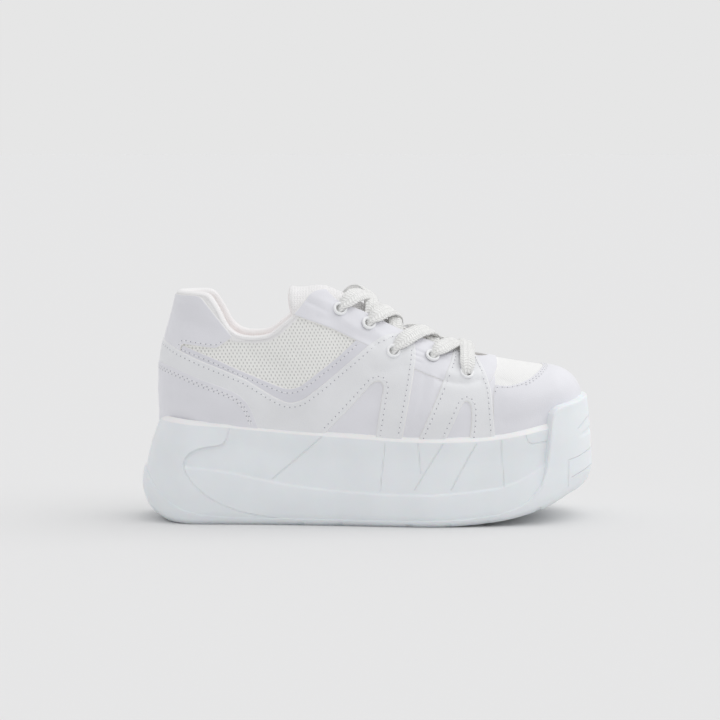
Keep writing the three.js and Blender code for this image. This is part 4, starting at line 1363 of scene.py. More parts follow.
def ring_faces(columns: int, rows: int) -> list[list[int]]:
    """Faces of a surface that closes on itself round its columns."""
    number = np.arange(columns * rows).reshape(columns, rows)
    after = np.roll(number, -1, axis=0)
    return np.stack([number[:, :-1], after[:, :-1], after[:, 1:], number[:, 1:]], axis=-1).reshape(-1, 4).tolist()


def tongue_swell(x: Points, y: Points) -> Points:
    """How far the padded tongue rises between the eyestay's edges.

    Args:
        x: Places along the shoe.
        y: Places across it.

    Returns:
        The rises in mm.
    """
    across = np.clip(1 - ((y - SHOE.middle(x)) / 18.5) ** 2, 0, 1)
    share = x / SHOE.length
    return 4.4 * across * smoothstep(share, 0.34, 0.42) * (1 - smoothstep(share, 0.7, 0.77))


@dataclass(frozen=True)
class Crease:
    """A soft trough in the upper, or a ridge where its depth is negative, along a path seen from the side."""

    path: tuple[tuple[float, float], ...]
    depth: float
    width: float
    side: Side = Side.BOTH

    def depth_at(self, grid: Grid) -> Points:
        """How far it sinks each point of a surface."""
        x, y, z = grid.points[..., 0], grid.points[..., 1], grid.points[..., 2]
        fall = np.exp(-((to_path(x, z, list(self.path)) / self.width) ** 2))
        if self.side is Side.BOTH:
            return self.depth * fall
        return self.depth * fall * smoothstep(self.side.value * (y - SHOE.middle(x)), 2, 9)


CREASES = (
    Crease(((105.0, 138.5), (111.0, 135.5), (118.0, 132.0)), 0.45, 1.5),
    Crease(((108.0, 141.5), (114.0, 139.0), (120.0, 136.5)), -0.3, 1.6),
    Crease(((112.0, 129.0), (119.0, 127.5)), 0.6, 3.2),
    Crease(((127.0, 127.5), (136.0, 121.5)), -0.5, 2.6),
    Crease(((146.0, 121.0), (153.0, 115.5)), -0.5, 2.4),
    Crease(((137.0, 118.0), (147.0, 112.5)), 0.5, 2.6),
    Crease(((170.5, 108.8), (175.5, 107.0), (180.0, 105.0)), 0.5, 0.8, Side.OUTER),
    Crease(((171.0, 105.6), (177.5, 103.2)), 0.45, 0.75, Side.OUTER),
    Crease(((171.0, 102.4), (176.0, 100.6)), 0.35, 0.7, Side.OUTER),
    Crease(((172.0, 106.0), (179.5, 102.5)), 0.5, 1.4, Side.INNER),
    Crease(((188.0, 90.5), (196.0, 88.4), (204.0, 87.8), (213.0, 89.6)), 0.9, 2.3),
    Crease(((193.0, 94.0), (203.0, 92.0), (211.0, 93.5)), -0.5, 2.0),
    Crease(((147.0, 96.0), (156.0, 96.0), (164.0, 99.0)), 0.9, 4.5),
    Crease(((134.0, 102.0), (143.0, 108.0)), -0.5, 4.0),
    Crease(((28.0, 128.0), (36.0, 125.0), (44.0, 120.0)), 0.9, 6.0),
    Crease(((26.0, 137.0), (37.0, 136.0)), -0.4, 3.0),
    Crease(((178.5, 93.0), (176.5, 80.0), (174.0, 68.0)), 0.4, 2.0),
    Crease(((184.0, 91.0), (181.0, 72.0)), -0.35, 2.2),
    Crease(((70.0, 107.0), (80.0, 102.0), (88.0, 97.0)), 0.8, 5.0),
    Crease(((100.0, 108.0), (108.0, 116.0)), 0.6, 4.5, Side.OUTER),
    Crease(((18.0, 82.0), (34.0, 78.0), (52.0, 72.0)), -0.6, 6.0),
    Crease(((14.0, 68.0), (34.0, 65.5), (54.0, 62.5)), 0.5, 4.0),
    Crease(((228.0, 64.5), (244.0, 66.5), (262.0, 72.0)), 0.8, 4.5),
    Crease(((230.0, 79.0), (246.0, 80.0), (260.0, 83.0)), -0.6, 6.0),
    Crease(((224.0, 90.5), (232.0, 88.0)), 0.4, 2.0),
)


@dataclass
class Upper:
    """The lasted upper: its mesh skin, lining, padded collar, tongue and insole."""

    palette: Palette
    wall: float = 2.2
    hidden: float = 8.0
    roll: float = 2.1
    tongue_thickness: float = 5.0
    tongue_gap: float = 2.8
    insole_thickness: float = 4.8
    skin: Grid = field(init=False)

    def __post_init__(self) -> None:
        """Makes the skin's grid, which the panels lie on."""
        smooth = SHOE.upper_grid()
        sunk = sum(crease.depth_at(smooth) for crease in CREASES)
        self.skin = Grid(smooth.offset(-sunk), smooth.uv)

    def build(self) -> None:
        """Builds and dresses the upper."""
        open_area = self.opening(self.skin)
        x, z = self.skin.points[..., 0], self.skin.points[..., 2]
        low = SHOE.rim(x) - self.hidden - z
        kept = Trimmed(self.skin, np.maximum(1.6 - open_area, low))
        self.palette.dress(kept.sheet("upper_mesh", 0.0, 0.0, 0.0, 0.0), "mesh", ("upper",))
        inner = SHOE.upper_grid(grow=-self.wall, padded=True, columns=240, rows=90)
        lined = Trimmed(inner, 1.4 - self.opening(inner))
        self.palette.dress(lined.sheet("upper_lining", 0.0, 0.0, 0.0, 0.0, inward=True), "lining")
        self._collar()
        self._tongue()
        self._insole()

    @staticmethod
    def throat(grid: Grid, grow: float = 0.0) -> Points:
        """Signed distance to the throat, along the surface.

        Args:
            grid: The surface.
            grow: How much wider the throat is than its own size.

        Returns:
            The distances, negative in the throat.
        """
        x, y = grid.points[..., 0], grid.points[..., 1] - SHOE.middle(grid.points[..., 0])
        end = SHOE.throat_end * SHOE.length
        sides = np.abs(y) - SHOE.throat_half(x)
        toe = np.hypot(np.maximum(x - end, 0), y) - SHOE.throat_half_toe
        slot = np.where(x < end, sides, toe) - grow
        slot = np.maximum(slot, 0.3 * SHOE.length - x)
        return np.where(grid.points[..., 2] > SHOE.rim_height + 8, grid.true_distance(slot), 9.0)

    @classmethod
    def opening(cls, grid: Grid) -> Points:
        """Signed distance to the collar's opening and the throat together, negative in them."""
        x, z = grid.points[..., 0], grid.points[..., 2]
        along = np.linspace(-20, 0.44 * SHOE.length, 90)
        line = np.stack([along, SHOE.collar_line(along)], axis=-1)
        above = Outline([*line, (0.44 * SHOE.length, 320), (-20, 320)])
        return np.minimum(grid.true_distance(above.distance(x, z)), cls.throat(grid))

    def _collar(self) -> None:
        """The padded roll along the collar's edge."""
        kept = Trimmed(self.skin, -self.opening(self.skin))
        lines = [line for line in kept.contours(-0.7) if len(line) > 60]
        line = resample(max(lines, key=len), 1.2)
        line = line[line[:, 0] < 0.445 * SHOE.length]
        place, out = line[:, :3], unit(line[:, 3:6])
        for _ in range(4):
            place[1:-1] = (place[:-2] + 2 * place[1:-1] + place[2:]) / 4
        ahead = unit(np.gradient(place, axis=0))
        out = unit(out - ahead * (out * ahead).sum(-1, keepdims=True))
        up = unit(np.cross(out, ahead))
        up = up * np.sign(up[:, 2:3] + 1e-9)
        thin = smoothstep(place[:, 0] / SHOE.length, 0.3, 0.385)
        wide = mix((self.wall + SHOE.collar_pad) / 2 + 0.7, self.wall / 2 + 0.8, thin)
        tall = mix(self.roll + 0.9, self.roll * 0.8, thin)
        drop = mix(0.1 * tall, 0.75 * tall, smoothstep(place[:, 0] / SHOE.length, 0.14, 0.22))
        place = place - out * (wide - 0.75)[:, None] - up * drop[:, None]
        turn = np.linspace(0, 2 * math.pi, 25)[:-1]
        ring = np.stack([np.cos(turn), np.sin(turn)], axis=-1)
        section = ring[None] * np.stack([wide, tall], axis=-1)[:, None]
        points, faces, uv = tube(place, out, up, section, closed=False, capped=True)
        self.palette.dress(build_mesh("collar_roll", points, faces, uv), "binding")

    def _tongue(self) -> None:
        """The tongue, from its end above the collar to under the toe end of the throat."""
        grid = SHOE.upper_grid(grow=-self.tongue_gap, column="tongue", columns=240, rows=100)
        x, y, z = grid.points[..., 0], grid.points[..., 1], grid.points[..., 2]
        grid.points[..., 2] = z + tongue_swell(x, y)
        at = np.array([0.328, 0.338, 0.44, 0.6, 0.775]) * SHOE.length
        half = np.interp(x, at, [24.5, 26.0, 26.0, 21.5, 17.0])
        side = np.abs(y - SHOE.middle(x)) - half
        start = np.hypot(np.maximum(side + 9, 0), np.maximum(0.328 * SHOE.length + 9 - x, 0)) - 9
        reach = grid.true_distance(np.maximum(np.maximum(side, start), x - 0.77 * SHOE.length))
        reach = np.maximum(reach, SHOE.rim_height + 14 - z)
        kept = Trimmed(grid, reach, (0.2, 0.7, 1.5, 2.3))
        depth = self.tongue_thickness
        front = kept.sheet("tongue_knit", -depth, depth, 2.3, 0.0)
        self.palette.dress(front, "tongue", ("tongue",))
        back = kept.sheet("tongue_back", -depth, 0.0, 0.0, 0.0, inward=True)
        self.palette.dress(back, "lining")

    def _insole(self) -> None:
        """The cushioned insole, cupped at its edge."""
        back, front = SHOE.heel_set_back + self.wall, SHOE.length - SHOE.toe_set_back - self.wall
        x = SHOE.shares(back, front, 150)
        half = SHOE.half_width(x) - SHOE.rim_lean - SHOE.rim_thickness - SHOE.clearance - self.wall
        half = half * SHOE.end_rounding(x, back, front)
        share = np.linspace(-1, 1, 41)
        y = SHOE.middle(x)[:, None] + half[:, None] * share[None, :]
        cupped = 2.2 * np.abs(share[None, :]) ** 6 + 0 * y
        z = SHOE.cup_floor(x)[:, None] + self.insole_thickness + cupped
        points = np.stack([x[:, None] + 0 * y, y, z], axis=-1)
        columns, rows = y.shape
        faces = [
            [a * rows + b, (a + 1) * rows + b, (a + 1) * rows + b + 1, a * rows + b + 1]
            for a in range(columns - 1) for b in range(rows - 1)
        ]
        uv = points[..., :2].reshape(-1, 2)
        self.palette.dress(build_mesh("insole_sock", points.reshape(-1, 3), faces, uv), "lining", ("insole",))


@dataclass(frozen=True)
class SeamRow:
    """A row of stitches beside a panel's edge: its distance in, and the part of the shoe that it runs along."""

    inside: float
    low: tuple[float, float] = (-1.0, -1.0)
    high: tuple[float, float] = (2.0, 3.0)


@dataclass(frozen=True)
class Panel:
    """A sewn-on panel: where it lies, how thick it is and how it is sewn."""

    name: str
    finish: str
    corners: tuple[tuple[float, float, float], ...]
    lift: float
    thickness: float
    replaced: tuple[str, ...] = ()
    side: Side = Side.BOTH
    seams: tuple[SeamRow, ...] = ()
    covers: tuple[str, ...] = ()


HEEL_TAB = (
    (-0.02, 0.585, 0), (0.05, 0.57, 0), (0.089, 0.48, 0), (0.0945, 0.598, 0.008), (0.1707, 0.584, 0.01),
    (0.207, 0.688, 0.006), (0.1348, 0.995, 0.01), (0.078, 0.978, 0), (-0.02, 0.978, 0),
)
HEEL_COUNTER = (
    (-0.02, -0.2, 0), (0.282, -0.2, 0), (0.2619, -0.005, 0.01), (0.2544, 0.072, 0.01), (0.2461, 0.147, 0.01),
    (0.2324, 0.208, 0.01), (0.2143, 0.25, 0.01), (0.1784, 0.292, 0.01), (0.1348, 0.34, 0.01),
    (0.0888, 0.395, 0.01),
    (0.0394, 0.439, 0.01), (-0.02, 0.47, 0),
)
STRAP = (
    (-0.02, 0.65, 0), (0.0498, 0.61, 0.01), (0.0859, 0.548, 0.01), (0.1354, 0.484, 0.01), (0.1907, 0.415, 0.01),
    (0.2337, 0.364, 0.01), (0.2965, 0.246, 0.01), (0.33, 0.2, 0.02), (0.36, 0.24, 0.012), (0.3971, 0.352, 0.01),
    (0.4595, 0.556, 0.01), (0.5032, 0.7, 0.01), (0.5214, 0.75, 0.008), (0.5396, 0.784, 0.008),
    (0.566, 0.8, 0.01),
    (0.596, 0.77, 0.01), (0.6046, 0.7, 0.008), (0.6056, 0.6, 0.008), (0.6024, 0.524, 0.008),
    (0.5933, 0.326, 0.01),
    (0.5772, 0.0, 0.01), (0.5685, -0.2, 0), (0.512, -0.2, 0), (0.5193, 0.0, 0.01), (0.5307, 0.285, 0.01),
    (0.5362, 0.39, 0.008), (0.5262, 0.432, 0.009), (0.5098, 0.402, 0.006), (0.4776, 0.265, 0.01),
    (0.4123, 0.0, 0.01),
    (0.366, -0.2, 0), (0.262, -0.2, 0), (0.2, 0.15, 0), (0.107, 0.28, 0), (-0.02, 0.38, 0),
)
TRIM = (
    (0.08, 0.44, 0), (0.097, 0.588, 0), (0.1627, 0.513, 0.01), (0.2235, 0.43, 0.01), (0.2654, 0.382, 0.01),
    (0.2991, 0.341, 0.01), (0.3267, 0.314, 0.016), (0.352, 0.34, 0.012), (0.3786, 0.422, 0.01),
    (0.4372, 0.603, 0.01),
    (0.49, 0.79, 0), (0.53, 0.72, 0), (0.455, 0.46, 0), (0.39, 0.22, 0), (0.33, 0.1, 0), (0.27, 0.2, 0),
    (0.14, 0.39, 0),
)
TOE_STRAP = (
    (0.592, -0.2, 0), (0.6144, 0.01, 0.01), (0.6454, 0.272, 0.01), (0.6645, 0.437, 0.01), (0.6794, 0.566, 0.01),
    (0.69, 0.68, 0.01), (0.738, 0.62, 0.012), (0.761, 0.459, 0.012), (0.7701, 0.335, 0.01), (0.7766, 0.0, 0.01),
    (0.778, -0.2, 0), (0.716, -0.2, 0), (0.7221, -0.004, 0.01), (0.7265, 0.143, 0.01), (0.7248, 0.245, 0.006),
    (0.7141, 0.286, 0.009), (0.7034, 0.24, 0.006), (0.6904, 0.137, 0.01), (0.6727, 0.0, 0.01), (0.648, -0.2, 0),
)
EYESTAY = (
    (0.33, 0.915, 0), (0.3966, 0.84, 0.01), (0.4262, 0.806, 0.01), (0.4991, 0.692, 0.01), (0.6047, 0.524, 0.01),
    (0.6635, 0.439, 0.01), (0.72, 0.35, 0.01), (0.764, 0.385, 0.01), (0.785, 0.49, 0.01), (0.788, 0.57, 0),
    (0.788, 1.2, 0), (0.33, 1.6, 0),
)
SIDE_PANEL = (
    (0.27, -0.2, 0), (0.3, 0.16, 0), (0.35, 0.18, 0), (0.45, 0.48, 0), (0.53, 0.7, 0), (0.6, 0.66, 0),
    (0.7, 0.55, 0), (0.78, 0.5, 0), (0.79, -0.2, 0),
)
TOE_CAP = (
    (0.773, -0.3, 0), (0.773, 0.3, 0), (0.7835, 0.45, 0), (0.7835, 1.2, 0), (1.05, 1.2, 0), (1.05, -0.3, 0),
)
TOE_WINDOW = ((0.765, 0.2, 0), (0.765, 1.2, 0), (0.92, 1.2, 0), (0.92, 0.2, 0))

PANELS = (
    Panel("side_panel", "pale", SIDE_PANEL, 0.05, 0.6),
    Panel("toe_textile", "toe_mesh", TOE_WINDOW, 0.05, 0.5),
    Panel("quarter_trim_outer_piece", "trim", TRIM, 0.1, 0.9, ("quarter_trim_outer",), Side.OUTER,
          (SeamRow(2.8),), ("strap", "eyestay")),
    Panel("quarter_trim_inner_piece", "trim", TRIM, 0.1, 0.9, ("quarter_trim_inner",), Side.INNER,
          (SeamRow(2.8),), ("strap", "eyestay")),
    Panel("heel_tab_piece", "pale", HEEL_TAB, 0.1, 1.2, ("heel_tab",), Side.BOTH,
          (SeamRow(2.0, low=(0.06, 0.5), high=(0.178, 0.72)),), ("strap",)),
    Panel("toe_cap_piece", "pale", TOE_CAP, 0.1, 1.1, ("toe_cap",), Side.BOTH,
          (SeamRow(1.7, low=(-1.0, 0.34)), SeamRow(3.1, low=(-1.0, 0.34))), ("toe_strap", "eyestay")),
    Panel("eyestay_piece", "pale", EYESTAY, 0.2, 1.2, ("eyestay",)),
    Panel("side_strap_piece", "strap", STRAP, 0.5, 1.3, ("side_strap",), Side.BOTH,
          (SeamRow(2.8),), ("counter",)),
    Panel("toe_strap_outer_piece", "strap", TOE_STRAP, 0.5, 1.3, ("toe_strap_outer",), Side.OUTER,
          (SeamRow(2.5),)),
    Panel("toe_strap_inner_piece", "strap", TOE_STRAP, 0.5, 1.3, ("toe_strap_inner",), Side.INNER,
          (SeamRow(2.5),)),
    Panel("heel_counter_piece", "pale", HEEL_COUNTER, 0.9, 1.2, ("heel_counter",), Side.BOTH,
          (SeamRow(3.1), SeamRow(4.6))),
)
COVERS = {"strap": STRAP, "toe_strap": TOE_STRAP, "eyestay": EYESTAY, "counter": HEEL_COUNTER}


@dataclass
class Sewing:
    """Thread, and dark discs of painted shade at the needle holes, gathered from every seam into two pieces."""

    palette: Palette
    pitch: float = 3.3
    thread: float = 0.26
    length: float = 2.5
    needle: float = 0.4
    threads: list = field(default_factory=list)
    holes: list = field(default_factory=list)

    def add_row(self, line: Points, height: float) -> None:
        """Sews along a line.

        Args:
            line: Rows of places and outward directions on the skin.
            height: Height of the panel's face over the skin there.
        """
        rows = resample(line, self.pitch)
        place, out = rows[:, :3], unit(rows[:, 3:6])
        ahead = unit(np.gradient(place, axis=0))
        broad = unit(np.cross(out, ahead))
        turn = np.linspace(0, 2 * math.pi, 7)[:-1]
        for p, o, a, b in zip(place, out, ahead, broad):
            top = p + o * height
            # A dark disc at each needle hole: painted shade for the hollow of the hole.
            self.holes.append((
                top + a * self.pitch / 2 + o * 0.05
                + (a[None] * np.cos(turn)[:, None] + b[None] * np.sin(turn)[:, None]) * self.needle,
                [list(range(6))],
            ))
            rings = []
            ends = ((-0.5, 0.25, -0.16), (-0.36, 0.9, 0.02), (0.36, 0.9, 0.02), (0.5, 0.25, -0.16))
            for along, size, sink in ends:
                centre = top + a * self.length * along + o * sink
                rings.append(centre + (b[None] * np.cos(turn)[:, None] + o[None] * np.sin(turn)[:, None])
                             * self.thread * size)
            faces = [
                [k * 6 + i, k * 6 + (i + 1) % 6, (k + 1) * 6 + (i + 1) % 6, (k + 1) * 6 + i]
                for k in range(3) for i in range(6)
            ]
            self.threads.append((np.concatenate(rings), faces))

    def build(self) -> None:
        """Makes the two pieces."""
        made = (("stitches", self.threads, "thread"), ("needle_hole_shades", self.holes, "needle_hole_shade"))
        for name, parts, finish in made:
            points, faces = join_parts(parts)
            self.palette.dress(build_mesh(name, points, faces), finish)


@dataclass
class Panels:
    """The leather panels sewn on the upper."""

    palette: Palette
    upper: Upper
    eyelets: list
    sewing: Sewing
    hole: float = 3.2
    shown: float = 5.0

    def build(self) -> None:
        """Builds and dresses every panel."""
        self._collar_band()
        for panel in PANELS:
            self._panel(panel)

    def _collar_band(self) -> None:
        """The smooth band that faces the collar below its roll, broad at the heel and narrow ahead."""
        grid = self.upper.skin
        x = grid.points[..., 0]
        width = mix(7.5, 3.4, smoothstep(x / SHOE.length, 0.17, 0.26))
        open_area = self.upper.opening(grid)
        reach = np.maximum(np.maximum(open_area - width, 0.8 - open_area), x - 0.43 * SHOE.length)
        band = Trimmed(grid, reach, (0.3, 0.8)).sheet("collar_band", 0.0, 0.7, 0.8, 0.3)
        self.palette.dress(band, "binding")

    def _window(self, grid: Grid, grow: float = 0.0) -> Points:
        """Signed distance to the mesh window on top of the toe, negative in it."""
        x, y = grid.points[..., 0], grid.points[..., 1]
        centre = 0.7835 * SHOE.length
        reach = 0.107 * SHOE.length + grow
        half = 0.67 * SHOE.half_width(np.array(centre)) + grow
        along, across = (x - centre) / reach, (y - SHOE.middle(np.array(centre))) / half
        return grid.true_distance((np.hypot(along, across) - 1) * min(reach, half))

    def _panel(self, panel: Panel) -> None:
        """Builds one panel and sews it."""
        grid = self.upper.skin
        x, y, z = grid.points[..., 0], grid.points[..., 1], grid.points[..., 2]
        reach = grid.true_distance(Outline.rounded(list(panel.corners)).distance(x, z))
        if panel.side is not Side.BOTH:
            reach = np.maximum(reach, -panel.side.value * (y - SHOE.middle(x)))
        if panel.name.startswith("toe_cap"):
            reach = np.maximum(reach, -self._window(grid))
        if panel.name.startswith("toe_textile"):
            reach = np.maximum(reach, self._window(grid, 4.0))
        clear = np.maximum(SHOE.rim(x) - self.shown - z, -self.upper.opening(grid) + 0.3)
        seam_field = np.maximum(reach, -self.upper.opening(grid) + 0.3)
        reach = np.maximum(reach, clear)
        for eyelet in self.eyelets:
            near = grid.points - eyelet.place
            away = np.linalg.norm(np.cross(near, eyelet.outward), axis=-1)
            hole = np.where(np.linalg.norm(near, axis=-1) < 14, self.hole - away, -9.0)
            reach = np.maximum(reach, hole)
        kept = Trimmed(grid, reach, (0.12, 0.4, 0.9))
        piece = kept.sheet(panel.name, panel.lift, panel.thickness, 0.9, 0.3)
        self.palette.dress(piece, panel.finish, panel.replaced)
        covers = [Outline.rounded(list(COVERS[name])) for name in panel.covers]
        for seam in panel.seams:
            for line in Trimmed(grid, seam_field).contours(-seam.inside):
                self._sew(line, seam, covers, panel.lift + panel.thickness)

    def _sew(self, line: Points, seam: SeamRow, covers: list[Outline], height: float) -> None:
        """Sews the stretches of a line that no other panel, eyelet or the sole hides."""
        x, z = line[:, 0], line[:, 2]
        up = (z - SHOE.rim(x)) / SHOE.collar_rise
        seen = (z > SHOE.rim(x) + 0.8) & (x / SHOE.length > seam.low[0]) & (x / SHOE.length < seam.high[0])
        seen &= (up > seam.low[1]) & (up < seam.high[1])
        for cover in covers:
            seen &= cover.distance(x, z) > 0.6
        for eyelet in self.eyelets:
            seen &= np.linalg.norm(line[:, :3] - eyelet.place, axis=-1) > 5.2
        stretch = []
        for row, shown in zip(line, seen):
            if shown:
                stretch.append(row)
                continue
            if len(stretch) > 5:
                self.sewing.add_row(np.array(stretch), height)
            stretch = []
        if len(stretch) > 5:
            self.sewing.add_row(np.array(stretch), height)


@dataclass
class Eyelet:
    """One eyelet's place on the panels' face."""

    name: str
    side: Side
    place: Points
    outward: Points


def face_over(x: float, y: float, grow: float, column: str) -> tuple[Points, Points]:
    """A point of the upper's top face.

    Args:
        x: Place along the shoe.
        y: Place across it.
        grow: How far the form is grown.
        column: Which crown it has.

    Returns:
        The point and the outward direction there.
    """

    def height(px: float, py: float) -> float:
        """Height of the face."""
        at = np.array(px)
        low, top = SHOE.cup_floor(at), SHOE.crown(at, grow, column)
        half = SHOE.half_width(at) - SHOE.rim_lean - SHOE.rim_thickness - SHOE.clearance + grow + SHOE.upper_bulge
        half = half * SHOE.end_rounding(at, SHOE.heel_set_back - grow, SHOE.length - SHOE.toe_set_back + grow)
        power = float(CROWN.read("square", px / SHOE.length))
        across = min(abs(py - float(SHOE.middle(at))) / float(half), 1.0)
        return float(low + (top - low) * (1 - across**power) ** (1 / power))

    slope_x = (height(x + 1, y) - height(x - 1, y)) / 2
    slope_y = (height(x, y + 1) - height(x, y - 1)) / 2
    return np.array([x, y, height(x, y)]), unit(np.array([-slope_x, -slope_y, 1.0]))


@dataclass
class Lacing:
    """The ten eyelets and the flat lace through them."""

    palette: Palette
    width: float = 10.6
    thickness: float = 3.4
    panel_face: float = 1.6
    tongue_grow: float = -2.8
    clearance: float = 0.3
    eyelet_hole: float = 2.7
    eyelet_rim: float = 4.5
    eyelet_proud: float = 1.5
    rows: tuple[tuple[float, float], ...] = (
        (0.4405, 0.975), (0.5035, 0.873), (0.557, 0.669), (0.6425, 0.637), (0.717, 0.497),
    )
    eyelets: list = field(init=False)
    fuzz: np.random.Generator = field(default_factory=lambda: np.random.default_rng(11))

    def __post_init__(self) -> None:
        """Finds each eyelet's place."""
        self.eyelets = [
            Eyelet(f"eyelet_{side.name.lower()}_{i + 1}", side, *self._find(at, up, side))
            for side in (Side.OUTER, Side.INNER) for i, (at, up) in enumerate(self.rows)
        ]

    def _find(self, at: float, up: float, side: Side) -> tuple[Points, Points]:
        """Finds the place on the panels' face at a height, by halving."""
        x = at * SHOE.length
        z = float(SHOE.rim(np.array(x))) + up * SHOE.collar_rise
        near, away = 0.0, float(SHOE.half_width(np.array(x)))
        for _ in range(24):
            y = (near + away) / 2
            over = face_over(x, float(SHOE.middle(np.array(x))) + side.value * y, self.panel_face, "top")[0][2] > z
            near, away = (y, away) if over else (near, y)
        return face_over(x, float(SHOE.middle(np.array(x))) + side.value * near, self.panel_face, "top")

    def build(self) -> None:
        """Builds and dresses the eyelets and the lace."""
        for eyelet in self.eyelets:
            self._eyelet(eyelet)
        outer = [e for e in self.eyelets if e.side is Side.OUTER]
        inner = [e for e in self.eyelets if e.side is Side.INNER]
        for i in range(len(self.rows) - 1):
            reach = outer[i + 1].place[0] + (1.0 if i < 3 else -4.0)
            over, under = (0.0, 1.6) if i == 0 else (0.7, -1.0)
            self._diagonal(f"lace_inner_{i + 1}", inner[i], reach, under, ())
            self._diagonal(f"lace_outer_{i + 1}", outer[i], reach, over, (f"lace_crossing_{i + 1}",))
        self._bar(outer[-1], inner[-1])

    def _eyelet(self, eyelet: Eyelet) -> None:
        """A turned ring with a rounded flange."""
        hole, rim, proud = self.eyelet_hole, self.eyelet_rim, self.eyelet_proud
        profile = [(hole, -3.4)]
        for turn in np.linspace(0, math.pi, 13):
            middle, half = (hole + rim) / 2, (rim - hole) / 2
            profile.append((middle - half * math.cos(turn), proud - 1.0 + 1.0 * math.sin(turn) ** 0.8))
        profile.append((rim, 0.0))
        radius, height = np.array(profile).T
        turn = np.linspace(0, 2 * math.pi, 49)[:-1]
        first = unit(np.cross(eyelet.outward, [0.0, 1.0, 0.3]))
        second = np.cross(eyelet.outward, first)
        around = np.cos(turn)[:, None] * first + np.sin(turn)[:, None] * second
        points = eyelet.place + around[:, None] * radius[None, :, None] + eyelet.outward * height[None, :, None]
        faces = [face[::-1] for face in ring_faces(*points.shape[:2])]
        ring = build_mesh(f"{eyelet.name}_ring", points.reshape(-1, 3), faces)
        self.palette.dress(ring, "eyelet", (eyelet.name,))

    def _lay(self, x: float, y: float, weight: float, lift: float) -> tuple[Points, Points]:
        """A place for the lace's middle: over the panels at weight 1 and over the tongue at weight 0."""
        bottom = self.clearance + self.thickness / 2
        panel, panel_out = face_over(x, y, self.panel_face, "top")
        tongue, tongue_out = face_over(x, y, self.tongue_grow, "tongue")
        swell = float(tongue_swell(np.array(x), np.array(y)))
        low = tongue + [0, 0, swell] + tongue_out * (bottom + lift + self.clearance)
        high = panel + panel_out * (bottom + lift + 0.5)
        return mix(low, high, weight), unit(mix(tongue_out, panel_out, weight))

    def _strip(self, name: str, places: list, sizes: list[tuple[float, float]], replaced: tuple[str, ...]) -> None:
        """Makes a stretch of lace.

        Args:
            name: Name of the piece.
            places: Places of its middle, each with the direction that its broad face looks in.
            sizes: Share of the full width and thickness at each place.
            replaced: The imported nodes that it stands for.
        """
        rows = np.concatenate([np.array([np.concatenate(p) for p in places]), np.array(sizes)], axis=1)
        run = np.concatenate([[0], np.cumsum(np.linalg.norm(np.diff(rows[:, :3], axis=0), axis=-1))])
        table = Table(("at", *map(str, range(8))), [(a, *row) for a, row in zip(run, rows)])
        at = np.linspace(0, run[-1], max(int(run[-1] / 0.7), 8))
        fine = np.stack([table.read(str(i), at) for i in range(8)], axis=-1)
        for _ in range(6):
            fine[1:-1] = (fine[:-2] + 2 * fine[1:-1] + fine[2:]) / 4
        line = fine[:, :3]
        ahead = unit(np.gradient(line, axis=0))
        broad = unit(np.cross(ahead, unit(fine[:, 3:6])))
        deep = np.cross(broad, ahead)
        turn = np.linspace(0, 2 * math.pi, 37)[:-1]
        shape = np.stack([np.sign(np.cos(turn)) * np.abs(np.cos(turn)) ** 0.62,
                          np.sign(np.sin(turn)) * np.abs(np.sin(turn)) ** 0.72], axis=-1)
        half = fine[:, 6:8] * np.array([self.width, self.thickness]) / 2
        section = shape[None] * half[:, None]
        section[..., 1] *= 1 - 0.16 * np.cos(np.pi * np.clip(section[..., 0] / half[:, :1], -1, 1)) ** 2
        points, faces, uv = tube(line, broad, deep, section, closed=False, capped=True)
        points = points + self.fuzz.normal(0.0, 0.07, points.shape)
        piece = build_mesh(name, points, faces, uv)
        self.palette.dress(piece, "lace", replaced)

    def _diagonal(self, name: str, start: Eyelet, reach: float, lift: float, replaced: tuple[str, ...]) -> None:
        """A lace out of an eyelet, over the throat's near edge and down under its far edge.

        Args:
            name: Name of the piece.
            start: The eyelet that it comes out of.
            reach: Where it ends along the shoe.
            lift: How far it stands off the tongue where it crosses the other.
            replaced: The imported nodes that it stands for.
        """
        place, outward, side = start.place, start.outward, start.side.value
        near = abs(place[1] - float(SHOE.middle(np.array(place[0]))))
        far = -1.0 * float(SHOE.throat_half(np.array(reach)))
        back = unit(np.array([-0.75, side * 0.45, 0.4]))
        places = [(place - outward * 4.5 + [0.8, 0, 0], back), (place - outward * 0.6 + [0.3, 0, 0], back)]
        sizes = [(0.5, 0.8), (0.54, 0.95)]
        for share in (0.1, 0.22, 0.34, 0.46, 0.58, 0.7, 0.85, 1.0):
            x = mix(place[0], reach, 1 - (1 - share) ** 2.5)
            away = mix(near, far, share)
            half = float(SHOE.throat_half(np.array(x)))
            weight = float(np.clip((away + half) / (1.7 * half), 0, 1))
            y = float(SHOE.middle(np.array(x))) + side * away
            places.append(self._lay(x, y, weight, lift * math.sin(math.pi * share)))
            sizes.append((mix(0.86, 1.0, min(share / 0.22, 1)), mix(1.0, 0.75, max(share - 0.8, 0) / 0.2)))
        self._strip(name, places, sizes, replaced)

    def _bar(self, outer: Eyelet, inner: Eyelet) -> None:
        """The straight lace between the two eyelets nearest the toe."""
        places = [(outer.place - outer.outward * 4.5, unit(np.array([0.3, 0.8, 0.5])))]
        sizes = [(0.5, 0.85)]
        for share in (0.0, 0.07, 0.2, 0.35, 0.5, 0.65, 0.8, 0.93, 1.0):
            x, y, _ = mix(outer.place, inner.place, share)
            places.append(self._lay(x, y, 1.0, 1.2 * math.sin(math.pi * share) - 1.6 * (share in (0.0, 1.0))))
            sizes.append((0.6 if share in (0.0, 1.0) else 0.92, 1.0))
        places.append((inner.place - inner.outward * 4.5, unit(np.array([0.3, -0.8, 0.5]))))
        sizes.append((0.5, 0.85))
        self._strip("lace_toe_bar", places, sizes, ("lace_bar",))


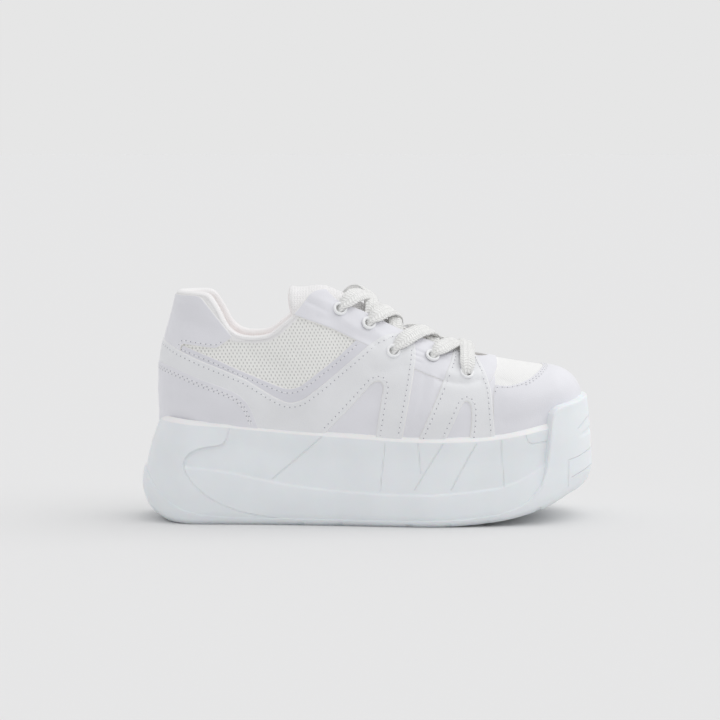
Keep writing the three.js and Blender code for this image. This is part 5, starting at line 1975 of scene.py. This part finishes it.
@dataclass
class Studio:
    """The pale floor, the soft light and the camera at the photograph's angle."""

    elevation: float = 5.0
    distance: float = 1.55
    frame_width: float = 0.444
    aim: tuple[float, float, float] = (-0.0050, -0.047, 0.1039)
    paper: Colour = (0.791, 0.791, 0.791)
    front_air: Colour = (0.62, 0.62, 0.63)
    sun_strength: float = 1.03
    sun_from: tuple[float, float, float] = (0.6, -0.04, 1.0)

    def place_camera(self) -> None:
        """Places the camera, looking along +Y and a little down."""
        data = bpy.data.cameras.new("camera")
        data.sensor_width = 36.0
        data.lens = 36.0 * self.distance / self.frame_width
        data.clip_end = 50.0
        camera = bpy.data.objects.new("camera", data)
        tilt = math.radians(self.elevation)
        away = Vector((0, -math.cos(tilt), math.sin(tilt))) * self.distance
        camera.location = Vector(self.aim) + away
        camera.rotation_euler = (math.pi / 2 - tilt, 0, 0)
        bpy.context.scene.collection.objects.link(camera)
        bpy.context.scene.camera = camera

    def build(self) -> None:
        """Builds the floor, the lights and the world."""
        scene = bpy.context.scene
        scene.view_settings.view_transform = "Standard"
        scene.view_settings.look = "None"
        scene.view_settings.exposure = 0.0
        self._floor()
        self._light()
        world = bpy.data.worlds.new("studio_air")
        scene.world = world
        world.use_nodes = True
        background = world.node_tree.nodes["Background"]
        nodes = Nodes(world.node_tree)
        toward = nodes.add("ShaderNodeTexCoord").outputs["Generated"]
        depth = nodes.add("ShaderNodeSeparateXYZ", {0: toward}).outputs[1]
        air = nodes.blend(nodes.ramp(depth, -0.45, 0.15), self.front_air, self.paper)
        world.node_tree.links.new(air, background.inputs["Color"])

    def _floor(self) -> None:
        """A flat floor, wide enough to meet the pale air behind it without a line."""
        points = np.array([(-40.0, -40.0, 0.0), (40.0, -40.0, 0.0), (40.0, 40.0, 0.0), (-40.0, 40.0, 0.0)])
        floor = build_mesh("studio_floor", points * 1000 - np.array(FRAME_SHIFT), [[0, 1, 2, 3]])
        material = bpy.data.materials.new("studio_paper")
        material.use_nodes = True
        shader = material.node_tree.nodes["Principled BSDF"]
        shader.inputs["Base Color"].default_value = (*self.paper, 1.0)
        shader.inputs["Roughness"].default_value = 1.0
        shader.inputs["Specular IOR Level"].default_value = 0.0
        floor.data.materials.append(material)

    def _light(self) -> None:
        """A broad soft light from above."""
        data = bpy.data.lights.new("soft_light", "SUN")
        data.energy = self.sun_strength
        data.angle = math.radians(70)
        light = bpy.data.objects.new("soft_light", data)
        light.rotation_euler = (-Vector(self.sun_from)).to_track_quat("-Z", "Y").to_euler()
        bpy.context.scene.collection.objects.link(light)


def main() -> None:
    """Builds the studio and every sub-assembly."""
    logging.basicConfig(level=logging.INFO, format="%(name)s: %(message)s")
    studio = Studio()
    studio.place_camera()
    studio.build()
    palette = Palette()
    sewing = Sewing(palette)
    Sole(palette).build()
    upper = Upper(palette)
    upper.build()
    lacing = Lacing(palette)
    Panels(palette, upper, lacing.eyelets, sewing).build()
    sewing.build()
    lacing.build()


if __name__ == "__main__":
    main()
